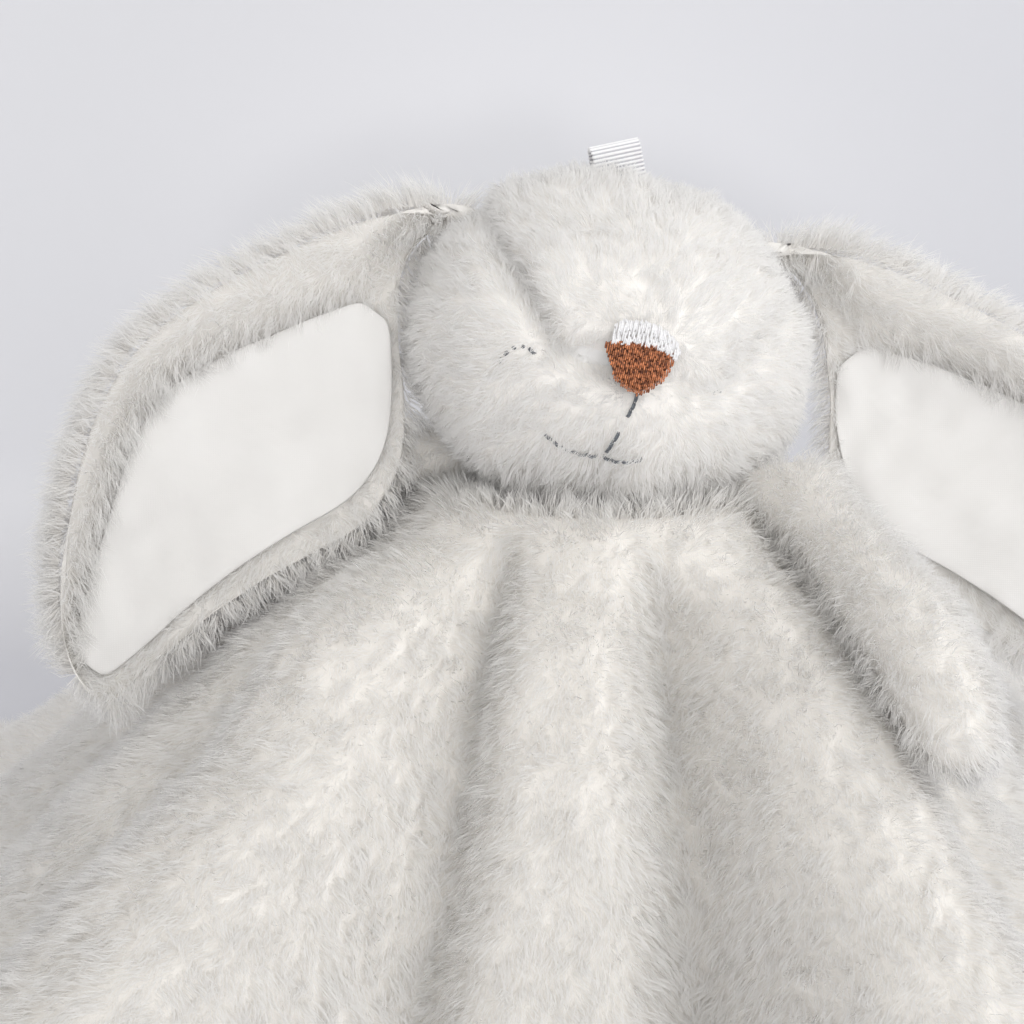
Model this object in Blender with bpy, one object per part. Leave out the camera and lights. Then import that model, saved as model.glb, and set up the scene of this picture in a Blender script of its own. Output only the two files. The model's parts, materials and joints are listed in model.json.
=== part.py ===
# A comfort blanket lovey: a stuffed plush bunny head with long satin lined ears and two
# short arms, sewn to the middle of a square plush blanket that falls in folds to the table.
# Metres, +Z up, the face looks along -Y. Left and right are the viewer's, seen from the front.

import functools
import math

import bmesh
import bpy
from mathutils import Matrix, Vector
from mathutils.bvhtree import BVHTree

# Blanket
SIDE_REACHES = (0.170, 0.170, 0.170, 0.200)  # flat cloth from the neck to each side's hem
BLANKET_TOP = 0.107  # top face of the plush round the neck, above the table
PLUSH_THICK = 0.006  # backing and pile together
LINING_THICK = 0.0015
LINING_INSET = 0.026  # plush hem turned in past the lining's edge
HEM_FLAT = 0.008  # the hem's last stretch, which lies flat on the table
GATHER_RADIUS = 0.034  # where the cloth leaves the neck and starts to fall
FOLD_REACH = 0.0085  # how far a fold stands out from the mean drape
FOLD_START = 0.030  # cloth below the gather that a fold takes to reach its full depth
FOLD_GROWTH_SHARE = 0.7  # how much deeper a fold is at the table than at the neck
FOLD_EDGE_POWER = 4  # above 2 the ridges are broad and the valleys between them narrow
CORNER_TURNS = (-130.0, -66.0, 33.0, 147.0, 230.0)  # degrees, where each corner's ridge points
FOLDS_PER_SIDE = (2, 4, 4, 3)  # front, right, back, left
FOLD_DEPTH_SHARES = (0.78, 1.0, 1.0, 0.3, 0.35, 0.35, 0.95, 1.0, 0.85, 1.0, 0.6, 0.5, 0.4)
NECK_TURNS = (-14, -3, 10, 12, 10, 5, 0, 0, 0, 0, 0, 0, -2)  # degrees, each ridge at the neck
NECK_TURN_REACH = 0.085  # cloth below the gather where the ridges run straight out again
CORNER_POWER = 14.0  # how square the flat cloth's corners are
DRAPE_RUN_SHARE = 0.985  # the drape's run over that of a straight slope of the same cloth
DRAPE_SHOULDER = 1.35  # above 1 the cloth leaves the neck level and falls later
EDGE_FOOT = 1.04  # 1 meets the table at full slope, more flattens towards it
CORNER_FOOT = 1.36
SEAT_ROW_SHARES = (0.0, 0.36, 0.66, 1.0)
CLOTH_ROW_SHARES = (0.10, 0.22, 0.35, 0.49, 0.63, 0.76, 0.88)
POINTS_PER_FOLD = 4

# Head
HEAD_WIDTH = 0.090
HEAD_DEPTH = 0.079
HEAD_HEIGHT = 0.0765
HEAD_WALL = 0.006  # plush with its pile
HEAD_LEAN = 13.5  # degrees, crown to the viewer's right
HEAD_TURN = 7.0  # degrees, face to the viewer's right
MUZZLE_RISE = 0.0035
MUZZLE_SPREAD = 30.0  # degrees
MUZZLE_DIRECTION = (0.0, -0.93, -0.36)
CHEEK_RISE = 0.0025
CHEEK_SPREAD = 32.0
CHEEK_DIRECTION = (0.74, -0.50, -0.44)
CROWN_RISE = 0.0012
CROWN_SPREAD = 30.0
CROWN_DIRECTION = (0.62, 0.0, 0.78)
SEAM_DEPTH = 0.0022
SEAM_WIDTH = 0.0006
CHIN_SEAM_SHARE = 0.2  # how deep the seam is under the nose, over the rest
GUSSET_HALF_WIDTHS = (0.0200, 0.0290, 0.0340, 0.0350, 0.0350, 0.0340, 0.0300, 0.0200, 0.0060)
PANEL_ROW_SHARES = (0.0, 0.16, 0.33, 0.50, 0.66, 0.81, 0.93, 1.0)
GUSSET_COLUMN_SHARES = (-1.0, -0.88, -0.45, 0.0, 0.45, 0.88, 1.0)
HEAD_STEPS = 32  # round the head, from the nose over the crown

# Neck, where the head is sewn into a shallow seat in the middle of the blanket
NECK_SINK = 0.006  # lowest point of the head below the top of the blanket
HEAD_SEAT = 0.0006  # cloth to the head's pile, wherever the head turns or nods
SEAT_POSES = ((0, 0), (-12, -10), (-12, 12), (6, 12), (24, -10), (24, 12))  # turn and nod
NECK_THREAD_RADIUS = 0.0006
NECK_THREAD_SEAT = 0.0006
NECK_STEPS = 28

# Nose, mouth and eyes, embroidered
NOSE_WIDTH = 0.0145
NOSE_HEIGHT = 0.0118
NOSE_DROP = 0.0007  # below the head's middle
NOSE_THICK = 0.0014
NOSE_OUTLINE_SHARES = (
    (0.50, 0.05), (0.47, 0.30), (0.36, 0.43), (0.14, 0.50), (-0.14, 0.50), (-0.36, 0.43),
    (-0.47, 0.30), (-0.50, 0.05), (-0.43, -0.17), (-0.30, -0.36), (-0.13, -0.48),
    (0.13, -0.48), (0.30, -0.36), (0.43, -0.17),
)
UNDERLAY_THICK = 0.0006
UNDERLAY_MARGIN = 0.0014  # how far the white underlay shows round the nose
UNDERLAY_RISE = 0.0030  # and how much more above it
THREAD_RADIUS = 0.00055
PHILTRUM_LENGTH = 0.0120
MOUTH_DROP = 0.0188  # of the mouth's middle below the head's middle
MOUTH_GAP = 0.0018  # between the philtrum's foot and each side of the mouth
MOUTH_LEFT_REACH = 0.0125
MOUTH_RIGHT_REACH = 0.0088
MOUTH_RISE = 0.0045
EYE_SPACING = 0.050
EYE_DROP = 0.0032
EYE_WIDTH = 0.0085
EYE_RISE = 0.0030
STITCH_STEPS = 6

# Hang loop, a ribbon folded over at the crown
RIBBON_WIDTH = 0.0105
RIBBON_THICK = 0.0007
LOOP_GAP = 0.0034  # clear space between its two legs
LOOP_HEIGHT = 0.0064
LOOP_SIDE = -11.0  # degrees from the middle of the crown
LOOP_LEAN = -14.0  # degrees more that it leans over to that side
LOOP_SEAT = 0.0002  # foot to the head's pile, so that it can flop
LOOP_STEPS = 14

# Ears, a plush back with a satin lining. Shares along the ear, and of its length across it
EAR_LENGTH = 0.132
EAR_THICK = 0.0065
EAR_LINING_THICK = 0.0010
EAR_CUP = 0.0060  # how far the upper rim stands forward of the middle
EAR_ROLL = 0.0040  # extra pile rolled over the lining at the upper rim
EAR_UPPER_SHARES = ((0, 0), (0.075, 0.083), (0.23, 0.173), (0.43, 0.248), (0.58, 0.264),
                    (0.73, 0.221), (0.88, 0.133), (0.965, 0.06), (1, 0.012))
EAR_LOWER_SHARES = ((0, 0.006), (0.22, 0.045), (0.31, 0.125), (0.42, 0.185), (0.50, 0.195),
                    (0.60, 0.150), (0.75, 0.095), (0.88, 0.066), (0.965, 0.042), (1, 0.020))
SATIN_UPPER_SHARES = ((0, 0), (0.23, -0.014), (0.30, 0.052), (0.42, 0.124), (0.57, 0.180),
                      (0.73, 0.130), (0.90, 0.060), (1, 0.010))
SATIN_ROWS = (4, 15)  # where it starts and ends
SATIN_EDGE = 0.0010  # between its upper edge and the roll of pile
SATIN_INSET_SHARE = 0.10  # of the ear's half width, at its lower edge
EAR_SEAT = 0.0016  # ear's inner edge to the head's pile, so that it can swing
EAR_ROOT_SEAT = 0.0003  # and where it is sewn on at the top
EAR_ROOT_SHARE = 0.12
EAR_ROW_SHARES = (0, 0.05, 0.11, 0.17, 0.24, 0.31, 0.38, 0.45, 0.52, 0.59, 0.66, 0.73,
                  0.80, 0.86, 0.915, 0.965, 1)
EAR_COLUMNS = 8
SATIN_COLUMN = 4  # the column of the satin's upper edge
EAR_LEFT_ROOT = (-0.0320, 0.0040, 0.0314)  # from the head's middle
EAR_LEFT_AIM = (-0.600, -0.330, -0.730)
EAR_RIGHT_ROOT = (0.0356, 0.0080, 0.0229)
EAR_RIGHT_AIM = (0.630, -0.200, -0.750)
EAR_ACROSS = (0.770, 0.0, -0.630)

# Arms
ARM_LENGTH = 0.074
ARM_ROOT_RADIUS = 0.0066
ARM_PAW_RADIUS = 0.0096
ARM_WALL = 0.0035
ARM_SEAT = 0.0010  # shoulder to the top of the blanket
ARM_SAG_SHARE = 0.07
PAW_SHARE = 0.70  # along the arm, where the paw is widest
ARM_ROOT_REACH = 0.0415  # of the shoulder from the neck's axis
ARM_LEFT_TURN = 180.0  # degrees, where the shoulder is round the neck
ARM_LEFT_AIM = (-0.770, 0.020, -0.640)
ARM_RIGHT_TURN = -30.0
ARM_RIGHT_AIM = (0.160, -0.790, -0.595)
ARM_SIDES = 12
ARM_RISE_SHARE = 0.35  # how far it is lifted off them over how far it is moved out
ARM_GUIDES = 5  # places along the arm where it rests on the folds
FILL_SHARE = 0.78  # stuffing over the room inside the cover, for the bends
ARM_ROW_SHARES = (0.0, 0.07, 0.18, 0.34, 0.52, 0.70, 0.86, 1.0)

# Running values
LAYER_GAP = 0.0003
STUFFING_GAP = 0.0012
LINING_GAP = 0.0005
WELD = 0.00001
SEARCH_STEPS = 18

FUR_WHITE = (0.90, 0.88, 0.84, 1.0)
HEAD_WHITE = (0.86, 0.86, 0.87, 1.0)
SATIN_CREAM = (0.92, 0.90, 0.84, 1.0)
LINING_WHITE = (0.88, 0.87, 0.84, 1.0)
FILL_WHITE = (0.95, 0.95, 0.95, 1.0)
NOSE_BROWN = (0.34, 0.11, 0.045, 1.0)
THREAD_GREY = (0.06, 0.07, 0.09, 1.0)
RIBBON_WHITE = (0.93, 0.93, 0.93, 1.0)

head_middle = Vector((0, 0, BLANKET_TOP - NECK_SINK + HEAD_HEIGHT / 2))
head_frame = (
    Matrix.Translation(head_middle)
    @ Matrix.Rotation(math.radians(HEAD_LEAN), 4, "Y")
    @ Matrix.Rotation(math.radians(HEAD_TURN), 4, "Z")
)
head_inverse = head_frame.inverted()
table_middle = Vector((0, 0, 0))


# Scene and helpers


def clear_scene():
    for item in list(bpy.data.objects):
        bpy.data.objects.remove(item, do_unlink=True)


def material(name, colour, roughness):
    made = bpy.data.materials.new(name)
    made.use_nodes = True
    shader = made.node_tree.nodes["Principled BSDF"]
    shader.inputs["Base Color"].default_value = colour
    shader.inputs["Roughness"].default_value = roughness
    shader.inputs["Metallic"].default_value = 0.0
    return made


def add_object(name, data, look, pivot):
    made = bpy.data.objects.new(name, data)
    made.location = pivot
    data.materials.append(look)
    lovey.objects.link(made)
    return made


def finish_mesh(name, shape, look, pivot):
    bmesh.ops.remove_doubles(shape, verts=shape.verts[:], dist=WELD)
    loose = [e for e in shape.edges if not e.link_faces]
    bmesh.ops.delete(shape, geom=loose, context="EDGES")
    bmesh.ops.recalc_face_normals(shape, faces=shape.faces[:])
    bmesh.ops.translate(shape, verts=shape.verts[:], vec=-pivot)
    mesh = bpy.data.meshes.new(name)
    shape.to_mesh(mesh)
    shape.free()
    mesh.shade_smooth()
    mesh.set_sharp_from_angle(angle=math.radians(50))
    return add_object(name, mesh, look, pivot)


# A layer of cloth: a unit grid with a front and a back, whose points go to
# place(across, along, side). Ring joins its two ends, pole gathers one side to a point.
def layer(name, look, pivot, columns, rows, place, ring=False, pole=False):
    shape = bmesh.new()
    bmesh.ops.create_grid(shape, x_segments=columns, y_segments=rows, size=0.5)
    bmesh.ops.triangulate(shape, faces=shape.faces[:], quad_method="FIXED")
    made = bmesh.ops.extrude_face_region(shape, geom=shape.faces[:], use_keep_orig=True)
    for item in made["geom"]:
        if isinstance(item, bmesh.types.BMVert):
            item.co.z = 1
    near = 0.25 / max(columns, rows)
    rims = []
    for face in shape.faces:
        alongs = [v.co.y for v in face.verts]
        acrosses = [v.co.x for v in face.verts]
        at_end = max(alongs) < near - 0.5 or min(alongs) > 0.5 - near
        at_pole = max(acrosses) < near - 0.5
        if (ring and at_end) or (pole and at_pole):
            rims.append(face)
    bmesh.ops.delete(shape, geom=rims, context="FACES_ONLY")
    for vert in shape.verts:
        vert.co = place(vert.co.x + 0.5, vert.co.y + 0.5, round(vert.co.z))
    return finish_mesh(name, shape, look, pivot)


# A closed ball whose points go to place(direction)
def ball(name, look, pivot, segments, rings, place):
    shape = bmesh.new()
    bmesh.ops.create_uvsphere(shape, u_segments=segments, v_segments=rings, radius=1)
    for vert in shape.verts:
        vert.co = place(vert.co.normalized())
    return finish_mesh(name, shape, look, pivot)


def thread(name, look, pivot, points, radius):
    data = bpy.data.curves.new(name, "CURVE")
    data.dimensions = "3D"
    data.bevel_depth = radius
    data.bevel_resolution = 1
    data.use_fill_caps = True
    run = data.splines.new("POLY")
    run.points.add(len(points) - 1)
    for slot, point in zip(run.points, points):
        slot.co = (*(point - pivot), 1)
    return add_object(name, data, look, pivot)


def blend(low, high, share):
    return low + (high - low) * share


def eased(share):
    share = min(max(share, 0), 1)
    return share * share * (3 - 2 * share)


def step_through(shares, position):
    place = position * (len(shares) - 1)
    index = min(int(place), len(shares) - 2)
    return blend(shares[index], shares[index + 1], place - index)


# A smooth curve through evenly spaced points
def curve_through(points, position):
    place = position * (len(points) - 1)
    index = min(int(place), len(points) - 2)
    u = place - index
    low, high = points[index], points[index + 1]
    before, after = points[max(index - 1, 0)], points[min(index + 2, len(points) - 1)]
    bend = before * 2 - low * 5 + high * 4 - after
    twist = low * 3 - before - high * 3 + after
    return (low * 2 + (high - before) * u + bend * u**2 + twist * u**3) / 2


# A smooth curve through a table of (along, across) pairs
def edge_at(shares, along):
    last = len(shares) - 2
    index = next((i for i in range(last + 1) if along <= shares[i + 1][0]), last)
    (a, low), (b, high) = shares[index], shares[index + 1]
    before = shares[max(index - 1, 0)]
    after = shares[min(index + 2, last + 1)]
    lean_in = (high - before[1]) / max(b - before[0], 1e-6)
    lean_out = (after[1] - low) / max(after[0] - a, 1e-6)
    u, gap = (along - a) / (b - a), b - a
    return (
        low * (2 * u**3 - 3 * u**2 + 1)
        + lean_in * gap * (u**3 - 2 * u**2 + u)
        + high * (3 * u**2 - 2 * u**3)
        + lean_out * gap * (u**3 - u**2)
    )


def spin_out(turn, radius, height):
    angle = math.radians(turn)
    return Vector((radius * math.cos(angle), radius * math.sin(angle), height))


# Blanket


def side_of(folds_along):
    start = 0
    for side, folds in enumerate(FOLDS_PER_SIDE):
        if folds_along <= start + folds or side == len(FOLDS_PER_SIDE) - 1:
            return side, (folds_along - start) / folds
        start += folds


# Cloth between the gather and the hem in the direction of one fold position
def cloth_below_gather(folds_along):
    side, along_side = side_of(folds_along)
    here = SIDE_REACHES[side]
    last = SIDE_REACHES[side - 1]
    following = SIDE_REACHES[(side + 1) % len(SIDE_REACHES)]
    angle = blend(-math.atan2(last, here), math.atan2(following, here), along_side)
    beside = last if angle < 0 else following
    square = (math.cos(angle) / here) ** CORNER_POWER
    square += (abs(math.sin(angle)) / beside) ** CORNER_POWER
    return square ** (-1 / CORNER_POWER) - GATHER_RADIUS


# A point of the drape's underside, deep is how far outside it along the mean slope
def drape(folds_along, cloth, deep, folded=True):
    side, along_side = side_of(folds_along)
    turn = blend(CORNER_TURNS[side], CORNER_TURNS[side + 1], along_side)
    ridge = math.floor(folds_along)
    near, following = (NECK_TURNS[index % len(NECK_TURNS)] for index in (ridge, ridge + 1))
    at_neck = blend(near, following, eased(folds_along - ridge))
    turn += at_neck * (1 - eased(cloth / NECK_TURN_REACH))
    height = BLANKET_TOP - PLUSH_THICK
    if cloth <= 0:
        level = spin_out(turn, GATHER_RADIUS + cloth, 0)
        seat = seat_height(round(level.x, 6), round(level.y, 6)) - PLUSH_THICK
        return level + Vector((0, 0, min(height, seat) + deep))
    hanging = cloth_below_gather(folds_along) - HEM_FLAT
    run = math.sqrt(hanging**2 - height**2) * DRAPE_RUN_SHARE
    corner = abs(2 * along_side - 1) ** 3
    foot = blend(EDGE_FOOT, CORNER_FOOT, corner)
    share = min(cloth / hanging, 1)
    left = 1 - share**DRAPE_SHOULDER
    steep = foot * DRAPE_SHOULDER * share ** (DRAPE_SHOULDER - 1)
    slope = math.atan(height / run * steep * max(left, 1e-9) ** (foot - 1))
    if cloth >= hanging:
        slope = slope / 2 if cloth < hanging + WELD else 0
    radius = GATHER_RADIUS + run * share + max(cloth - hanging, 0)
    if folded:
        depths = FOLD_DEPTH_SHARES
        depth = depths[round(folds_along) % len(depths)]
        wave = 1 - 2 * abs(math.sin(math.pi * folds_along)) ** FOLD_EDGE_POWER
        grown = FOLD_REACH * (1 + FOLD_GROWTH_SHARE * share)
        radius += grown * depth * eased(cloth / FOLD_START) * wave
    return spin_out(
        turn,
        radius + deep * math.sin(slope),
        height * left**foot * (cloth < hanging) + deep * math.cos(slope),
    )


# The cloth distance of a row: two rows on the flat middle, then down the slope
def row_cloth(across, columns, folds_along, rows):
    hanging = cloth_below_gather(folds_along) - HEM_FLAT
    places = [share * GATHER_RADIUS - GATHER_RADIUS for share in SEAT_ROW_SHARES]
    places += [share * hanging for share in rows]
    if columns > len(places):
        places += [hanging, hanging + HEM_FLAT]
    return places[round(across * columns)]


def make_blanket(plush, lining):
    folds = sum(FOLDS_PER_SIDE)
    steps = folds * POINTS_PER_FOLD
    full_rows = CLOTH_ROW_SHARES
    plush_columns = len(SEAT_ROW_SHARES) + len(full_rows) + 1
    lining_columns = len(SEAT_ROW_SHARES) + len(full_rows) - 1

    def plush_point(across, along, side):
        cloth = row_cloth(across, plush_columns, along * folds, full_rows)
        return drape(along * folds, cloth, 0 if side else PLUSH_THICK)

    def lining_point(across, along, side):
        cloth = row_cloth(across, lining_columns, along * folds, full_rows)
        edge = cloth_below_gather(along * folds) - LINING_INSET
        return drape(along * folds, min(cloth, edge), -LINING_GAP - LINING_THICK * side)

    top = layer(
        "blanket_plush", plush, table_middle, plush_columns, steps, plush_point, True, True
    )
    layer("blanket_lining", lining, table_middle, lining_columns, steps, lining_point, True, True)
    points = [vert.co for vert in top.data.vertices]
    return BVHTree.FromPolygons(points, [face.vertices for face in top.data.polygons])


# Head


def bump(direction, middle, spread):
    between = direction.angle(Vector(middle).normalized())
    return math.exp(-((math.degrees(between) / spread) ** 2))


def head_radius(direction):
    x, y, z = direction
    half_width, half_depth, half_height = HEAD_WIDTH / 2, HEAD_DEPTH / 2, HEAD_HEIGHT / 2
    radius = 1 / math.sqrt((x / half_width) ** 2 + (y / half_depth) ** 2 + (z / half_height) ** 2)
    mirrored = Vector((abs(x), y, z))
    radius += MUZZLE_RISE * bump(direction, MUZZLE_DIRECTION, MUZZLE_SPREAD)
    radius += CHEEK_RISE * bump(mirrored, CHEEK_DIRECTION, CHEEK_SPREAD)
    radius += CROWN_RISE * bump(mirrored, CROWN_DIRECTION, CROWN_SPREAD)
    return radius


# How far a point is outside the head's pile
def off_head(point):
    local = head_inverse @ point
    return local.length - head_radius(local.normalized())


# The point on a line from outside the head that lies gap off its pile
def meet_head(start, direction, gap):
    low, high = 0, (start - head_middle).length
    for _ in range(SEARCH_STEPS):
        middle = (low + high) / 2
        if off_head(start + direction * middle) > gap:
            low = middle
        else:
            high = middle
    return start + direction * low


seat_poses = [
    (
        Matrix.Translation(head_middle)
        @ Matrix.Rotation(math.radians(turn), 4, "Z")
        @ Matrix.Rotation(math.radians(nod), 4, "X")
        @ Matrix.Translation(-head_middle)
    ).inverted()
    for turn, nod in SEAT_POSES
]


# How far a line from a place outside the head stays gap off its pile in all its poses
def reach_in_all_poses(start, direction, gap):
    reaches = []
    for pose in seat_poses:
        moved = pose @ start
        way = pose.to_3x3() @ direction
        reaches.append((meet_head(moved, way, gap) - moved).length)
    return min(reaches)


@functools.lru_cache(maxsize=None)
def seat_height(x, y):
    return reach_in_all_poses(Vector((x, y, 0)), Vector((0, 0, 1)), HEAD_SEAT)


# Directions round the head: latitude towards the right ear, turn from the nose over the crown
def head_direction(latitude, turn):
    level = math.cos(latitude)
    return Vector(
        (math.sin(latitude), -level * math.cos(turn), level * math.sin(turn))
    )


def head_point(direction, deep):
    return head_frame @ (direction * (head_radius(direction) - deep))


def gusset_half_width(turn):
    share = math.degrees(turn) / 180
    if share > 1:
        return 0
    return step_through(GUSSET_HALF_WIDTHS, share)


def seam_latitude(turn, extra):
    radius = head_radius(head_direction(0, turn))
    return (gusset_half_width(turn) + extra) / radius


def head_layer_depth(side, at_seam):
    return HEAD_WALL if side else SEAM_DEPTH * at_seam


def make_head(plush, fill):
    columns = len(PANEL_ROW_SHARES) - 1
    pole = math.radians(90)
    crease = SEAM_WIDTH / (HEAD_DEPTH / 2)
    turns = [math.radians(360) * index / HEAD_STEPS for index in range(HEAD_STEPS)]
    half = HEAD_STEPS // 2
    turns = turns[: half + 1] + [turns[half] + crease] + turns[half + 1 :]
    turns += [math.radians(360) - crease, math.radians(360)]

    def side_panel(sign):
        def place(across, along, side):
            turn = turns[round(along * (len(turns) - 1))] % math.radians(360)
            seam = seam_latitude(turn, SEAM_WIDTH / 2)
            share = step_through(PANEL_ROW_SHARES, across)
            latitude = sign * blend(pole, seam, share)
            at_seam = CHIN_SEAM_SHARE if turn > math.radians(270) or turn <= 0 else 1
            return head_point(
                head_direction(latitude, turn), head_layer_depth(side, at_seam * (share >= 1))
            )

        return place

    def gusset(across, along, side):
        turn = math.radians(180) * along
        share = step_through(GUSSET_COLUMN_SHARES, across)
        latitude = share * seam_latitude(turn, -SEAM_WIDTH / 2)
        return head_point(
            head_direction(latitude, turn), head_layer_depth(side, abs(share) >= 1)
        )

    for name, sign in (("head_left_panel", -1), ("head_right_panel", 1)):
        layer(name, plush, head_middle, columns, len(turns) - 1, side_panel(sign), True, True)
    gusset_columns = len(GUSSET_COLUMN_SHARES) - 1
    layer("head_crown_gusset", plush, head_middle, gusset_columns, HEAD_STEPS // 2, gusset)

    def filling(direction):
        return head_point(direction, HEAD_WALL + STUFFING_GAP)

    ball("head_stuffing", fill, head_middle, 20, 12, filling)


# The ring of stitches that holds the head in its seat
def make_neck(white):
    height = BLANKET_TOP + NECK_THREAD_SEAT + NECK_THREAD_RADIUS
    points = []
    for index in range(NECK_STEPS):
        start = spin_out(360 * index / NECK_STEPS, GATHER_RADIUS, height)
        inward = Vector((-start.x, -start.y, 0)).normalized()
        gap = NECK_THREAD_SEAT + NECK_THREAD_RADIUS
        points.append(start + inward * reach_in_all_poses(start, inward, gap))
    ring = thread("neck_seam", white, head_middle, points, NECK_THREAD_RADIUS)
    ring.data.splines[0].use_cyclic_u = True


# Face


# A point over the front of the head at a place across and up from the head's middle
def face_point(across, up, lift):
    front = Vector((across, -HEAD_DEPTH, up))
    back = head_frame.to_3x3() @ Vector((0, 1, 0))
    return meet_head(head_frame @ front, back, lift)


def outline_at(shares, turn):
    place = turn * len(shares)
    index = int(place) % len(shares)
    low, high = shares[index], shares[(index + 1) % len(shares)]
    share = place - int(place)
    return blend(low[0], high[0], share), blend(low[1], high[1], share)


def make_nose(brown, white):
    points = len(NOSE_OUTLINE_SHARES)
    base_lift = LAYER_GAP + UNDERLAY_THICK + LAYER_GAP

    def nose(across, along, side):
        x, z = outline_at(NOSE_OUTLINE_SHARES, along % 1)
        crown = NOSE_THICK * math.sqrt(max(1 - across**4 * 0.8, 0))
        lift = base_lift if side else base_lift + crown
        return face_point(x * NOSE_WIDTH * across, z * NOSE_HEIGHT * across - NOSE_DROP, lift)

    def underlay(across, along, side):
        x, z = outline_at(NOSE_OUTLINE_SHARES, along % 1)
        wide = NOSE_WIDTH + 2 * UNDERLAY_MARGIN
        tall = NOSE_HEIGHT * (0.5 if z < 0 else 1) + (2 * UNDERLAY_RISE if z > 0 else 0)
        lift = LAYER_GAP if side else LAYER_GAP + UNDERLAY_THICK
        return face_point(x * wide * across, z * tall * across - NOSE_DROP, lift)

    layer("nose_embroidery", brown, head_middle, 3, points, nose, True, True)
    layer("nose_underlay", white, head_middle, 3, points, underlay, True, True)


def make_stitches(grey):
    lift = THREAD_RADIUS + LAYER_GAP
    shares = [index / STITCH_STEPS for index in range(STITCH_STEPS + 1)]
    nose_foot = NOSE_DROP + NOSE_HEIGHT / 2
    philtrum_top = nose_foot + MOUTH_GAP
    philtrum_foot = min(philtrum_top + PHILTRUM_LENGTH, MOUTH_DROP - MOUTH_GAP)

    def run(name, path):
        points = [face_point(*path(share), lift) for share in shares]
        thread(name, grey, head_middle, points, THREAD_RADIUS)

    def philtrum(share):
        return 0, -blend(philtrum_top, philtrum_foot, share)

    def mouth_left(share):
        return (
            -MOUTH_GAP / 2 - MOUTH_LEFT_REACH * share,
            -MOUTH_DROP + MOUTH_RISE * share**2 * (0.4 + 0.6 * share),
        )

    def mouth_right(share):
        return (
            MOUTH_GAP / 2 + MOUTH_RIGHT_REACH * share,
            -MOUTH_DROP + MOUTH_RISE * share**2 * 0.7,
        )

    def eye(sign):
        def path(share):
            arch = EYE_RISE * math.sin(math.pi * share)
            return sign * EYE_SPACING / 2 + EYE_WIDTH * (share - 0.5), arch - EYE_DROP

        return path

    run("philtrum_stitch", philtrum)
    run("mouth_left_stitch", mouth_left)
    run("mouth_right_stitch", mouth_right)
    run("eye_left_stitch", eye(-1))
    run("eye_right_stitch", eye(1))


# The hang loop: two legs up from the crown and a half circle over them
def make_loop(white):
    base_direction = head_direction(math.radians(LOOP_SIDE), math.radians(92))
    leaning = head_direction(math.radians(LOOP_SIDE + LOOP_LEAN), math.radians(92))
    up = (head_frame.to_3x3() @ leaning).normalized()
    side_way = head_frame.to_3x3() @ Vector((1, 0, 0))
    side_way = (side_way - up * side_way.dot(up)).normalized()
    fore = up.cross(side_way)
    base = head_point(base_direction, 0)
    half_gap = LOOP_GAP / 2
    leg = LOOP_HEIGHT - half_gap - RIBBON_THICK

    def place(across, along, side):
        reach = half_gap + (0 if side else RIBBON_THICK)
        sideways = side_way * (RIBBON_WIDTH * (across - 0.5))
        if along < 0.25 or along > 0.75:
            sign = -1 if along < 0.25 else 1
            share = along * 4 if along < 0.25 else (1 - along) * 4
            top = base + fore * (sign * reach) + up * leg + sideways
            foot = meet_head(top, -up, LOOP_SEAT)
            return blend(foot, top, share)
        bend = math.radians(180) * (along - 0.25) * 2
        around = fore * (-math.cos(bend) * reach) + up * (math.sin(bend) * reach)
        return base + up * leg + around + sideways

    layer("hang_loop", white, base, 2, LOOP_STEPS * 2, place)


# Ears


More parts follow.
